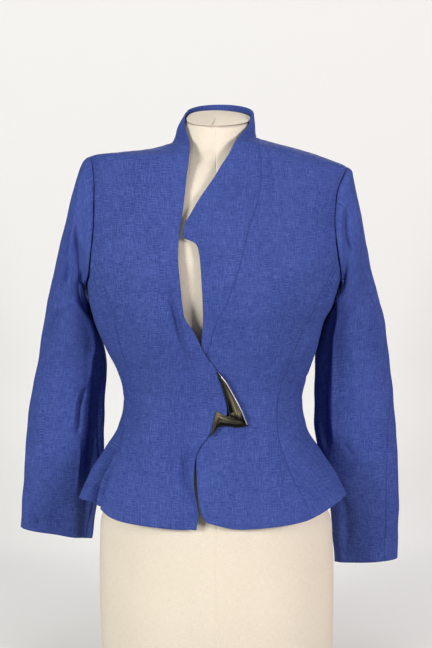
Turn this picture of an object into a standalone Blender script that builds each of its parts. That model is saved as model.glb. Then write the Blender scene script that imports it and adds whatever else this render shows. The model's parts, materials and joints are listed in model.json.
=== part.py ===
"""Fitted linen jacket with a lapped front and a flared peplum, on a limbless dress form.

The jacket is cut from one torso surface: rings from the hem to the top of the stand collar. Each panel
is the part of that surface between its two seams, made into a thin wall. The sleeves are tubes that
start on the armhole, where the torso is cut by an almost upright line, and hang beside the form.

Sizes in the tables are millimetres. Angles are degrees round the torso from the centre front, positive
towards +X. The wearer's right is at -X. The scene is in metres with +Z up, the front faces -Y, and the
origin is at the centre of the form's flat base.
"""

from collections import namedtuple

import bpy
import numpy as np

MM = 0.001
CLOTH_WALL = 1.6
SEAM_GAP = 0.4
ARMHOLE_GAP = 0.9
LAP_RISE = 3.2
CLASP_REST = LAP_RISE + 0.7

HEM_LEVEL = 256.0
SCOOP_LEVEL = 576.0
ARMPIT_LEVEL = 592.0
SHOULDER_TIP_LEVEL = 777.0
NECK_LEVEL = 809.0
COLLAR_TOP_LEVEL = 847.0
# Levels of the cloth's rows: an even height, with more where an edge or the shoulder turns sharply.
ROW_HEIGHT = 20.0
SCOOP_ROWS = 3
SHOULDER_ROWS = (SHOULDER_TIP_LEVEL, 786, 795, 803, NECK_LEVEL)
NOTCH_ROWS = (651, 658, 664, 668, 682, 690, 700)
# A panel that narrows to a point stops this far short of it.
PANEL_TIP = 5.0

ROYAL_BLUE = (0.028, 0.048, 0.290)
CANVAS = (0.78, 0.69, 0.55)
DARK_METAL = (0.06, 0.055, 0.05)

# Half-widths to the wearer's right (-X) and left (+X), then y at the front, sides and back. Square is the
# ring's superellipse power. A ring's +X side is lifted by tilt and its back by pitch.
Ring = namedtuple("Ring", "level right left front side back square tilt pitch")
TORSO_RINGS = [
    Ring(256, 197, 196, -147, -30, 150, 2.3, 0, 0),
    Ring(300, 184, 180, -137, -20, 138, 2.3, 0, 0),
    Ring(345, 163, 156, -120, -10, 122, 2.3, 0, 0),
    Ring(380, 146, 138, -107, -4, 107, 2.3, 0, 0),
    Ring(412, 139, 133, -100, 0, 97, 2.3, 0, 0),
    Ring(430, 139, 133, -99, 0, 95, 2.3, 0, 0),
    Ring(463, 147, 142, -104, 0, 95, 2.3, 0, 0),
    Ring(500, 165, 154, -113, 0, 99, 2.3, 0, 0),
    Ring(536, 180, 162, -121, 0, 103, 2.3, 0, 0),
    Ring(565, 188, 178, -125, 0, 106, 2.3, 0, 0),
    Ring(592, 193, 187, -125, 0, 108, 2.2, 0, 0),
    Ring(645, 213, 208, -117, 1, 110, 2.1, -2, 0),
    Ring(690, 212, 207, -104, 2, 107, 2.0, -4, 0),
    Ring(735, 204, 203, -90, 3, 98, 2.0, -6, 0),
    Ring(765, 193, 202, -79, 4, 88, 2.0, -8, 0),
    Ring(777, 183, 196, -76, 4, 84, 2.0, -8, 0),
    Ring(786, 142, 165, -71, 4, 80, 2.0, -4, 0),
    Ring(795, 98, 122, -67, 4, 77, 2.0, 0, 0),
    Ring(803, 75, 85, -63, 4, 75, 2.0, 2, 0),
    Ring(809, 64, 62, -60, 5, 73, 2.0, 4, 2),
    Ring(830, 56, 60, -53, 6, 70, 2.0, 2, 8),
    Ring(847, 46, 58, -47, 7, 67, 2.0, 2, 17),
]
FORM_RINGS = [
    Ring(0, 171, 179, -130, 0, 122, 2.3, 0, 0),
    Ring(130, 176, 181, -137, 0, 127, 2.3, 0, 0),
    Ring(233, 174, 177, -136, 0, 124, 2.3, 0, 0),
    Ring(262, 164, 165, -131, 0, 119, 2.3, 0, 0),
    Ring(290, 150, 150, -122, 0, 112, 2.3, 0, 0),
    Ring(345, 138, 132, -106, 0, 101, 2.3, 0, 0),
    Ring(380, 131, 124, -92, 0, 92, 2.3, 0, 0),
    Ring(420, 125, 119, -87, 0, 84, 2.3, 0, 0),
    Ring(463, 132, 127, -90, 0, 82, 2.3, 0, 0),
    Ring(500, 148, 138, -97, 0, 86, 2.3, 0, 0),
    Ring(545, 164, 150, -107, 0, 90, 2.3, 0, 0),
    Ring(592, 173, 167, -115, 0, 94, 2.2, 0, 0),
    Ring(650, 172, 167, -108, 0, 94, 2.1, 0, 0),
    Ring(700, 165, 161, -94, 0, 88, 2.0, 0, 0),
    Ring(740, 150, 147, -80, 2, 80, 2.0, 0, 0),
    Ring(762, 122, 122, -68, 3, 73, 2.0, 0, 0),
    Ring(778, 84, 86, -58, 4, 67, 2.0, 0, 0),
    Ring(795, 61, 60, -53, 4, 63, 2.0, 0, 1),
    Ring(815, 52, 55, -50, 5, 60, 2.0, 0, 6),
    Ring(842, 42, 53.5, -46, 5, 54, 2.0, 0, 13),
]

FORM_SHOULDER_ROWS = (762, 778, 795)
FORM_ROW_HEIGHT = 36.0
FORM_COLUMNS = 28

# How far the hem's line lifts the cloth over its ring, by the angle. The lift grows from the hip to the hem.
Lift = namedtuple("Lift", "angle lift")
HEM_LINE = [
    Lift(-180, 4), Lift(-135, 10), Lift(-92, 20), Lift(-76, 20), Lift(-67.5, 16), Lift(-62, 7), Lift(-56, 2.5),
    Lift(-45, -0.5), Lift(-30, -3), Lift(-15, -4.5), Lift(0, -4), Lift(24, -3.5), Lift(36, -2.2), Lift(46, 0),
    Lift(55, 4), Lift(62, 11), Lift(69, 19), Lift(80, 26.5), Lift(92, 28), Lift(135, 10), Lift(180, 4),
]
HIP_LEVEL = 380.0

# Flutes and dents of the flared hem. Each grows from its top level to full depth at the hem.
Flute = namedtuple("Flute", "angle spread top depth")
FLUTES = [
    Flute(-77, 5, 405, -13),
    Flute(-89, 7, 400, 12),
    Flute(-112, 18, 400, -24),
    Flute(112, 18, 400, -24),
    Flute(-150, 14, 390, 7),
    Flute(150, 14, 390, 7),
    Flute(-17, 5, 385, -6),
    Flute(90, 9, 380, 5),
]
# Fullness that the curved seams leave at the chest, alike on both sides.
Fullness = namedtuple("Fullness", "angle level spread height out")
CHEST = Fullness(34, 602, 20, 55, 8)
# Where the right front lifts off to lap over the left: it is level with it at the first angle and fully
# over it at the second, and the lift ends between the two levels.
LAP_ANGLES = (-60, -25)
LAP_LEVELS = (520, 580)

# Edges and seams, from the hem up: where each line crosses the front, as a distance from the centre.
Cross = namedtuple("Cross", "level x")
RIGHT_FRONT_EDGE = [
    Cross(256, -27.3), Cross(277, -24.3), Cross(298, -28), Cross(322, -30), Cross(350, -28),
    Cross(385, -6), Cross(397, 9), Cross(415, 17), Cross(440, 14), Cross(474, 3), Cross(498, -13),
    Cross(529, -27), Cross(558, -43), Cross(600, -47), Cross(648, -51), Cross(684, -49),
    Cross(703, -46), Cross(749, -41), Cross(789, -37), Cross(806, -37), Cross(824, -42),
    Cross(839, -45), Cross(847, -45.8),
]
LEFT_FRONT_EDGE = [
    Cross(256, 36), Cross(257, 25), Cross(259.3, 12.5), Cross(262.5, 0), Cross(265, -10),
    Cross(269.5, -15), Cross(276, -19), Cross(290, -23.5), Cross(306, -25.5), Cross(343, -28),
    Cross(380, -34), Cross(450, -34), Cross(513, -20), Cross(558, -17), Cross(607, -19),
    Cross(651, -23.5), Cross(657, -26.2), Cross(661.5, -32), Cross(664, -39), Cross(666, -43.5),
    Cross(668, -45), Cross(675, -44.9), Cross(682, -44), Cross(688, -42.4), Cross(692, -39.5),
    Cross(700, -34.7), Cross(718, -24.3), Cross(731, -15.9), Cross(755, 0), Cross(773, 10),
    Cross(788, 20), Cross(805, 30), Cross(819, 40), Cross(834, 51), Cross(847, 54),
]
COLLAR_SEAM = [
    Cross(476, -31), Cross(502, -11), Cross(540, 0), Cross(575, 17), Cross(622, 33), Cross(678, 47),
    Cross(720, 61), Cross(756, 67), Cross(778, 67), Cross(800, 64), Cross(809, 62),
]
# The seams of the side panels, which end on the armhole at the same level at the front and at the back.
SIDE_TOP_LEVEL = 636.0
# Levels that every panel of the body has as rows, so that the panels meet along their seams.
BODY_ROWS = (258, 262, 265, 270, 277, 290, 496, SCOOP_LEVEL, SIDE_TOP_LEVEL, *SHOULDER_ROWS)
SIDE_FRONT_SEAM = {
    -1: [
        Cross(256, -171), Cross(279, -166), Cross(334, -148), Cross(384, -131), Cross(412, -126),
        Cross(450, -126), Cross(509, -138), Cross(561, -150), Cross(611, -167), Cross(636, -181),
    ],
    1: [
        Cross(256, 140), Cross(278, 134), Cross(310, 117), Cross(344, 103), Cross(386, 92),
        Cross(414, 91), Cross(451, 98), Cross(518, 122), Cross(590, 156), Cross(636, 180),
    ],
}
SIDE_BACK_SEAM = {
    -1: [
        Cross(256, -150), Cross(345, -115), Cross(420, -96), Cross(500, -118), Cross(592, -160),
        Cross(636, -181),
    ],
    1: [
        Cross(256, 146), Cross(345, 110), Cross(420, 92), Cross(500, 112), Cross(592, 155),
        Cross(636, 180),
    ],
}
# The stand collar leaves the shoulder seam at the neck and its seam runs backwards as it rises.
Turn = namedtuple("Turn", "level angle")
COLLAR_SIDE = [Turn(809, 90), Turn(847, 115)]
ARMHOLE = {
    -1: [
        Cross(592, 193), Cross(612, 184), Cross(636, 181), Cross(690, 177), Cross(735, 177),
        Cross(777, 183),
    ],
    1: [
        Cross(592, 187), Cross(612, 184), Cross(636, 180), Cross(690, 175), Cross(735, 179),
        Cross(777, 196),
    ],
}

# Sleeve sections from the armhole down: the outer and inner points in the front view, how far back the
# middle lies, and the half-depth. The first section is bent onto the armhole. -1 is the wearer's right.
Section = namedtuple("Section", "number outer_x outer_z inner_x inner_z back depth")
SLEEVE_SECTIONS = {
    -1: [
        Section(0, -183, 785, -193, 592, 3, 50),
        Section(1, -196, 776, -195, 586, 4, 56),
        Section(2, -207, 750, -195, 578, 7, 60),
        Section(3, -220, 701, -189.8, 565, 11, 63),
        Section(4, -239, 626, -184.2, 543, 18, 61),
        Section(5, -259, 540, -173, 513, 26, 54),
        Section(6, -271, 474, -166, 465, 33, 46),
        Section(7, -287, 393, -171, 393, 37, 41),
        Section(8, -294, 315, -172, 321, 38, 37),
        Section(9, -298, 265, -181, 265, 37, 32),
        Section(10, -301.5, 214, -191.5, 196, 35, 26),
    ],
    1: [
        Section(0, 196, 769, 187, 592, 3, 50),
        Section(1, 203, 762, 189, 586, 4, 56),
        Section(2, 208, 744, 186.5, 578, 7, 60),
        Section(3, 219, 698, 179.6, 565, 11, 63),
        Section(4, 233.5, 626, 167.4, 543, 18, 61),
        Section(5, 256, 543, 158.6, 513, 26, 54),
        Section(6, 267, 474, 153, 467, 33, 44),
        Section(7, 277, 387, 153, 381, 37, 38),
        Section(8, 283, 315, 164, 315, 38, 35),
        Section(9, 285, 237, 179, 240, 37, 31),
        Section(10, 284, 166, 185, 159, 35, 26),
    ],
}
SLEEVE_SQUARE = 2.2
ARMHOLE_FADE = 3.0
# Turns round the sleeve of its two seams: 0 is the outer line, 90 the front and 180 the inner line.
Seam = namedtuple("Seam", "number turn")
SLEEVE_SEAMS = {
    -1: ([Seam(0, -40), Seam(10, -40)], [Seam(0, 165), Seam(10, 165)]),
    1: (
        [Seam(0, 0), Seam(4, 2), Seam(5, 8), Seam(6, 19), Seam(7, 38), Seam(8, 50), Seam(9, 57), Seam(10, 59)],
        [Seam(0, 200), Seam(10, 200)],
    ),
}
SLEEVE_COLUMNS = 20

# The clasp as a bent strip: a point of its inner and of its outer outline at each section, from the
# blade's tip to the foot's tip, and the height of its middle line over the rim.
Strip = namedtuple("Strip", "inner_x inner_z outer_x outer_z crown")
CLASP = [
    Strip(3.0, 474.5, 4.2, 474.5, 0.3),
    Strip(5.2, 465, 10.8, 466, 0.8),
    Strip(8.2, 457, 16.5, 458, 1.2),
    Strip(11.2, 446, 22.4, 447, 1.6),
    Strip(14.6, 436, 28.0, 436, 2.0),
    Strip(17.2, 426, 33.0, 426, 2.2),
    Strip(19.0, 416, 38.5, 414, 2.3),
    Strip(19.8, 409, 45.4, 395, 2.0),
    Strip(15.2, 410, 33.0, 393, 2.2),
    Strip(7.5, 414, 19.0, 395, 2.2),
    Strip(1.5, 417, 9.0, 396, 2.0),
    Strip(-1.8, 403, 3.6, 393, 1.2),
    Strip(-4.2, 391, -0.6, 387, 0.8),
    Strip(-6.8, 381, -5.8, 380.5, 0.3),
]
CLASP_RIM = 2.2


def smooth(rows, column, at):
    """Value of a table's column at any height, on a monotone cubic through its rows."""
    x = np.array([row[0] for row in rows], float)
    y = np.array([getattr(row, column) for row in rows], float)
    h = np.diff(x)
    slope = np.diff(y) / h
    tangent = np.zeros_like(y)
    tangent[0], tangent[-1] = slope[0], slope[-1]
    turning = slope[:-1] * slope[1:] <= 0
    weight_a, weight_b = 2 * h[1:] + h[:-1], h[1:] + 2 * h[:-1]
    safe_a = np.where(turning, 1, slope[:-1])
    safe_b = np.where(turning, 1, slope[1:])
    mean = (weight_a + weight_b) / (weight_a / safe_a + weight_b / safe_b)
    tangent[1:-1] = np.where(turning, 0, mean)
    at = np.clip(np.asarray(at, float), x[0], x[-1])
    k = np.clip(np.searchsorted(x, at, side="right") - 1, 0, len(h) - 1)
    t = (at - x[k]) / h[k]
    keep = (1 + 2 * t) * (1 - t) ** 2 * y[k] + t * t * (3 - 2 * t) * y[k + 1]
    return keep + h[k] * (t * (1 - t) ** 2 * tangent[k] + t * t * (t - 1) * tangent[k + 1])


def step(at, low, high):
    """0 up to low, 1 from high on, and a smooth rise between them."""
    t = np.clip((np.asarray(at, float) - low) / (high - low), 0, 1)
    return t * t * (3 - 2 * t)


def hump(t):
    """A smooth hump, 1 in the middle and close to 0 two spreads away."""
    return np.exp(-(t**2))


def turn_between(angle, other):
    """The turn from one angle to another, the short way round."""
    return (angle - other + 180) % 360 - 180


def radius(rings, angle, level):
    """Distance from a ring's middle to its outline, in the direction of the angle."""
    turn = np.radians(angle)
    s, c = np.sin(turn), np.cos(turn)
    width = np.where(s < 0, smooth(rings, "right", level), smooth(rings, "left", level))
    middle = smooth(rings, "side", level)
    front, back = middle - smooth(rings, "front", level), smooth(rings, "back", level) - middle
    depth = np.where(c > 0, front, back)
    power = smooth(rings, "square", level)
    return ((np.abs(s) / width) ** power + (np.abs(c) / depth) ** power) ** (-1 / power)


def ring_point(rings, angle, level, out=0.0):
    """A point on a ring, moved out from it, as an array whose last axis is x, y, z."""
    angle, level = np.broadcast_arrays(np.asarray(angle, float), np.asarray(level, float))
    s, c = np.sin(np.radians(angle)), np.cos(np.radians(angle))
    r = radius(rings, angle, level) + out
    z = level + smooth(rings, "tilt", level) * s - smooth(rings, "pitch", level) * c
    return np.stack([r * s, smooth(rings, "side", level) - r * c, z], axis=-1)


def hem_lift(angle, level):
    """How far the hem's line lifts a point of the cloth."""
    grown = np.clip((HIP_LEVEL - level) / (HIP_LEVEL - HEM_LEVEL), 0, 1) ** 1.5
    return grown * smooth(HEM_LINE, "lift", turn_between(angle, 0))


def fullness(angle, level):
    """How far the cloth stands out from its ring: flutes and dents at the hem, and room at the chest."""
    out = 0.0
    for flute in FLUTES:
        grown = np.clip((flute.top - level) / (flute.top - HEM_LEVEL), 0, 1) ** 1.2
        out = out + flute.depth * grown * hump(turn_between(angle, flute.angle) / flute.spread)
    for side in (-1, 1):
        across = hump(turn_between(angle, side * CHEST.angle) / CHEST.spread)
        out = out + CHEST.out * across * hump((level - CHEST.level) / CHEST.height)
    return out


def lap(angle, level):
    """How far the right front stands out where it laps over the left front."""
    return LAP_RISE * step(angle, *LAP_ANGLES) * (1 - step(level, *LAP_LEVELS))


def torso(angle, level, over=None):
    """The jacket's outer surface, with an extra layer where one panel lies over another."""
    layer = over(angle, level) if over else 0.0
    point = ring_point(TORSO_RINGS, angle, level, fullness(angle, level) + layer)
    point[..., 2] += hem_lift(angle, level)
    return point


def angle_at(x, level, back=False):
    """The angle at which a ring is x away from the centre, on its front or its back half."""
    x = np.asarray(x, float)
    width = np.where(x < 0, smooth(TORSO_RINGS, "right", level), smooth(TORSO_RINGS, "left", level))
    middle = smooth(TORSO_RINGS, "side", level)
    end = smooth(TORSO_RINGS, "back" if back else "front", level)
    power = smooth(TORSO_RINGS, "square", level)
    share = np.clip(np.abs(x) / width, 0, 1)
    depth = (end - middle) * (1 - share**power) ** (1 / power)
    return np.degrees(np.arctan2(x, -depth))


def line_angle(rows, level, back=False):
    """The angle of an edge or seam that is stated by its distance from the centre."""
    return angle_at(smooth(rows, "x", level), level, back)


def armhole_angle(side, level, back=False):
    return angle_at(side * smooth(ARMHOLE[side], "x", level), level, back)


def front_outline(side, level):
    """The outer side of a front: side-front seam, armhole, shoulder seam, then the collar's seam."""
    above_tip = side * np.where(level < NECK_LEVEL, 90.0, smooth(COLLAR_SIDE, "angle", level))
    above_seam = np.where(level < SHOULDER_TIP_LEVEL, armhole_angle(side, level), above_tip)
    return np.where(level < SIDE_TOP_LEVEL, line_angle(SIDE_FRONT_SEAM[side], level), above_seam)


def back_outline(side, level):
    """The outer side of a back: the side-back seam, the armhole, then the shoulder seam."""
    above_seam = np.where(level < SHOULDER_TIP_LEVEL, armhole_angle(side, level, True), side * 90.0)
    return np.where(level < SIDE_TOP_LEVEL, line_angle(SIDE_BACK_SEAM[side], level, True), above_seam)


def surface_normal(point_at, u, v, du, dv):
    """Outward unit normal of a surface point_at(u, v), by differences."""
    along_u = point_at(u + du, v) - point_at(u - du, v)
    along_v = point_at(u, v + dv) - point_at(u, v - dv)
    normal = np.cross(along_u, along_v)
    return normal / np.linalg.norm(normal, axis=-1, keepdims=True)


def closed_shell(outer, inner):
    """Points and faces of a wall between two grids of points: both sides and the four edges."""
    rows, columns = outer.shape[:2]
    count = rows * columns
    index = np.arange(count).reshape(rows, columns)
    faces = []
    for i in range(rows - 1):
        for j in range(columns - 1):
            quad = [index[i, j], index[i, j + 1], index[i + 1, j + 1], index[i + 1, j]]
            faces.append(quad)
            faces.append([q + count for q in reversed(quad)])
    border = [*index[0, :], *index[1:, -1], *index[-1, -2::-1], *index[-2:0:-1, 0]]
    for a, b in zip(border, border[1:] + border[:1]):
        faces.append([b, a, a + count, b + count])
    return np.concatenate([outer.reshape(-1, 3), inner.reshape(-1, 3)]), faces


def add_object(name, points, faces, material):
    """One named object from points in millimetres, shaded smooth between its sharp edges."""
    mesh = bpy.data.meshes.new(name)
    mesh.from_pydata((points * MM).tolist(), [], [[int(i) for i in face] for face in faces])
    mesh.validate()
    mesh.shade_smooth()
    mesh.set_sharp_from_angle(angle=np.radians(50))
    mesh.materials.append(material)
    made = bpy.data.objects.new(name, mesh)
    bpy.context.scene.collection.objects.link(made)
    return made


def add_material(name, colour, roughness, metallic=0.0):
    material = bpy.data.materials.new(name)
    material.use_nodes = True
    shader = material.node_tree.nodes["Principled BSDF"]
    shader.inputs["Base Color"].default_value = (*colour, 1.0)
    shader.inputs["Roughness"].default_value = roughness
    shader.inputs["Metallic"].default_value = metallic
    return material


def levels_between(low, high, corners=(), spacing=ROW_HEIGHT):
    """Heights from low to high, about spacing apart, with every corner that lies between them."""
    stops = sorted({low, high, *[c for c in corners if low < c < high]})
    parts = []
    for a, b in zip(stops, stops[1:]):
        parts.append(np.linspace(a, b, max(2, round((b - a) / spacing) + 1))[:-1])
    return np.concatenate([*parts, [high]])


def add_panel(name, levels, start, end, columns, material, over=None):
    """A panel of the torso between two angles at each level, less half a seam gap on each side."""
    share = np.linspace(0, 1, columns + 1)
    half_gap = np.degrees(SEAM_GAP / 2 / radius(TORSO_RINGS, np.stack([start, end]), levels))
    start, end = start + half_gap[0], end - half_gap[1]
    angle = start[:, None] + (end - start)[:, None] * share
    level = np.repeat(levels[:, None], columns + 1, axis=1)
    add_wall(name, angle, level, material, over)


def add_wall(name, angle, level, material, over=None):
    """A wall of cloth on the torso, from grids of angles and levels."""

    def outside(a, v):
        return torso(a, v, over)

    outer = outside(angle, level)
    normal = surface_normal(outside, angle, level, 0.5, 1.0)
    add_object(name, *closed_shell(outer, outer - CLOTH_WALL * normal), material)


def armhole_level(angle, side):
    """The level at which an angle near the armpit meets the armhole, found by halving."""
    low = np.full(angle.shape, ARMPIT_LEVEL)
    high = np.full(angle.shape, (ARMPIT_LEVEL + SHOULDER_TIP_LEVEL) / 2)
    for _ in range(40):
        middle = (low + high) / 2
        back = np.abs(angle) > 90
        edge = np.where(back, armhole_angle(side, middle, True), armhole_angle(side, middle))
        inside = np.where(back, np.abs(angle) < np.abs(edge), np.abs(angle) > np.abs(edge))
        low, high = np.where(inside, low, middle), np.where(inside, middle, high)
    return low


def add_side(name, side, columns, material):
    """A side panel between the side-front and side-back seams, scooped out under the arm."""
    share = np.linspace(0, 1, columns + 1)
    top = np.full(columns + 1, SIDE_TOP_LEVEL)
    for _ in range(20):
        front = line_angle(SIDE_FRONT_SEAM[side], top)
        back = line_angle(SIDE_BACK_SEAM[side], top, True)
        angle = front + (back - front) * share
        top[1:-1] = (top[1:-1] + armhole_level(angle[1:-1], side)) / 2
    straight = np.repeat(levels_between(HEM_LEVEL, SCOOP_LEVEL, BODY_ROWS)[:-1, None], columns + 1, axis=1)
    scoop = np.linspace(0, 1, SCOOP_ROWS + 1)[:, None]
    level = np.concatenate([straight, SCOOP_LEVEL + (top - SEAM_GAP - SCOOP_LEVEL) * scoop])
    front = line_angle(SIDE_FRONT_SEAM[side], level)
    back = line_angle(SIDE_BACK_SEAM[side], level, True)
    half_gap = side * np.degrees(SEAM_GAP / 2 / radius(TORSO_RINGS, back, level))
    angle = front + half_gap + (back - front - 2 * half_gap) * share
    add_wall(name, angle[:, ::side], level[:, ::side], material)


def add_fronts(linen):
    """The right front, and the left front in two pieces joined by the curved collar seam."""
    levels = levels_between(HEM_LEVEL, COLLAR_TOP_LEVEL, BODY_ROWS)
    edge = line_angle(RIGHT_FRONT_EDGE, levels)
    add_panel("front_right", levels, front_outline(-1, levels), edge, 8, linen, lap)

    seam_end = COLLAR_SEAM[0].level
    tip = NECK_LEVEL - PANEL_TIP
    corners = (*BODY_ROWS, *NOTCH_ROWS, tip)
    levels = levels_between(HEM_LEVEL, tip, corners)
    edge, seam = line_angle(LEFT_FRONT_EDGE, levels), line_angle(COLLAR_SEAM, levels)
    inner = np.where(levels < seam_end, edge, seam)
    add_panel("front_left", levels, inner, front_outline(1, levels), 7, linen)

    levels = levels_between(seam_end + PANEL_TIP, COLLAR_TOP_LEVEL, corners)
    seam, side = line_angle(COLLAR_SEAM, levels), smooth(COLLAR_SIDE, "angle", levels)
    outline = np.where(levels < NECK_LEVEL, seam, side)
    add_panel("front_left_collar", levels, line_angle(LEFT_FRONT_EDGE, levels), outline, 4, linen)


def add_backs(linen):
    """Two backs with a centre seam, the side panels, and the back of the stand collar."""
    levels = levels_between(HEM_LEVEL, NECK_LEVEL, BODY_ROWS)
    centre = np.full(levels.shape, 180.0)
    add_panel("back_left", levels, back_outline(1, levels), centre, 6, linen)
    add_panel("back_right", levels, centre, back_outline(-1, levels) + 360, 6, linen)
    add_side("side_left", 1, 8, linen)
    add_side("side_right", -1, 8, linen)
    levels = np.linspace(NECK_LEVEL + SEAM_GAP, COLLAR_TOP_LEVEL, 5)
    turn = smooth(COLLAR_SIDE, "angle", levels)
    add_panel("collar_back", levels, turn, 360 - turn, 12, linen)


def section_point(value, c, s):
    """A point of a sleeve section, from its sizes and the cosine and sine of a turn round it."""
    x = (value["outer_x"] + value["inner_x"]) / 2 + c * (value["outer_x"] - value["inner_x"]) / 2
    z = (value["outer_z"] + value["inner_z"]) / 2 + c * (value["outer_z"] - value["inner_z"]) / 2
    return np.stack([x, value["back"] - s * value["depth"], z], axis=-1)


def sleeve_point(side, turn, along):
    """A point of a sleeve's outer surface: a turn round it, and a way along it counted in sections."""
    sections = SLEEVE_SECTIONS[side]
    turn, along = np.broadcast_arrays(np.asarray(turn, float), np.asarray(along, float))
    c, s = np.cos(np.radians(turn)), np.sin(np.radians(turn))
    reach = (np.abs(c) ** SLEEVE_SQUARE + np.abs(s) ** SLEEVE_SQUARE) ** (-1 / SLEEVE_SQUARE)
    sizes = {name: smooth(sections, name, along) for name in Section._fields}
    hanging = section_point(sizes, c * reach, s * reach)
    start = section_point(sections[0]._asdict(), c * reach, s * reach)
    fade = (1 - step(along, 0, ARMHOLE_FADE))[..., None]
    return hanging + fade * (armhole_point(side, turn) - start)


def armhole_point(side, turn):
    """The armhole's outline, which the sleeve's first section follows, a small gap outside it."""
    c, s = np.cos(np.radians(turn)), np.sin(np.radians(turn))
    level = (SHOULDER_TIP_LEVEL + ARMPIT_LEVEL) / 2 + c * (SHOULDER_TIP_LEVEL - ARMPIT_LEVEL) / 2
    angle = np.where(s >= 0, armhole_angle(side, level), armhole_angle(side, level, True))
    return torso(angle, level) + np.array([side * ARMHOLE_GAP, 0, 0])


def add_sleeve(name, side, linen):
    """A sleeve in two pieces, the upper one facing the front, with closer rows near the armhole."""
    last = SLEEVE_SECTIONS[side][-1]
    along = np.concatenate([np.linspace(0, 4, 9), np.linspace(4, last.number, 11)[1:]])
    first, second = (smooth(seam, "turn", along) for seam in SLEEVE_SEAMS[side])
    gap = np.degrees(SEAM_GAP / 2 / last.depth)

    def outside(turn, way):
        return sleeve_point(side, turn, way)

    for piece, start, end in (("upper", first, second), ("under", second, first + 360)):
        across = np.linspace(0, 1, round(SLEEVE_COLUMNS * np.mean(end - start) / 360) + 1)[::side]
        turn = (start + gap)[:, None] + (end - start - 2 * gap)[:, None] * across
        way = np.broadcast_to(along[:, None], turn.shape)
        outer = outside(turn, way)
        normal = side * surface_normal(outside, turn, np.clip(way, 0.02, last.number - 0.02), 1.0, 0.02)
        add_object(f"{name}_{piece}", *closed_shell(outer, outer - CLOTH_WALL * normal), linen)


def loft(rings):
    """Points and faces of a closed solid through rings of points, with a flat face at each end."""
    count, around = rings.shape[:2]
    index = np.arange(count * around).reshape(count, around)
    faces = [index[0][::-1], index[-1]]
    for low, high in zip(index, index[1:]):
        for j in range(around):
            k = (j + 1) % around
            faces.append([low[j], low[k], high[k], high[j]])
    return rings.reshape(-1, 3), faces


def add_clasp(metal):
    """The metal clasp, a bent strip with a raised middle line that lies on the lapped front."""
    inner = np.array([[strip.inner_x, strip.inner_z] for strip in CLASP])
    outer = np.array([[strip.outer_x, strip.outer_z] for strip in CLASP])
    crown = np.array([strip.crown for strip in CLASP])
    rest = np.full(len(CLASP), CLASP_REST)
    rim = rest + CLASP_RIM
    middle = (inner + outer) / 2
    profile = [(outer, rim), (middle, rim + crown), (inner, rim), (inner, rest), (outer, rest)]
    rings = np.stack([on_front(place, height) for place, height in profile], axis=1)
    add_object("clasp", *loft(rings), metal)


def on_front(place, height):
    """Points over the front of the torso, from x and z in the front view and the height over the cloth."""
    angle = angle_at(place[:, 0], place[:, 1])
    return torso(angle, place[:, 1], lambda a, v: height)


def add_dress_form(canvas):
    """The padded form inside the jacket: one closed solid with a flat base and a sloping neck cap."""
    levels = levels_between(0, FORM_RINGS[-1].level, FORM_SHOULDER_ROWS, FORM_ROW_HEIGHT)
    angles = np.linspace(0, 360, FORM_COLUMNS, endpoint=False)
    rings = ring_point(FORM_RINGS, angles[None, :], levels[:, None])
    add_object("dress_form", *loft(rings), canvas)


def main():
    for old in list(bpy.data.objects):
        bpy.data.objects.remove(old)
    linen = add_material("blue_linen", ROYAL_BLUE, 0.85)
    add_fronts(linen)
    add_backs(linen)
    add_sleeve("sleeve_right", -1, linen)
    add_sleeve("sleeve_left", 1, linen)
    add_clasp(add_material("dark_polished_metal", DARK_METAL, 0.2, 1.0))
    add_dress_form(add_material("form_canvas", CANVAS, 0.8))


main()
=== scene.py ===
"""Looks of a fitted linen jacket with a lapped front and a flared peplum, on a limbless dress form.

The file is laid out as an add-on: its properties hold the sizes and colours that a user would change, and
one operator makes each group of pieces. Every cloth piece is a thin closed shell on the same surface as
its solid: rings from the hem to the top of the stand collar for the body, sections from the armhole down
for the sleeves. Creases are placed one by one, each with its own width and depth.

Sizes in the tables are millimetres. Angles are degrees round the body from the centre front, positive
towards +X. The wearer's right is at -X, the front faces -Y, and the origin is at the centre of the form's
flat base.
"""

import json
import math
from collections import namedtuple

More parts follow.
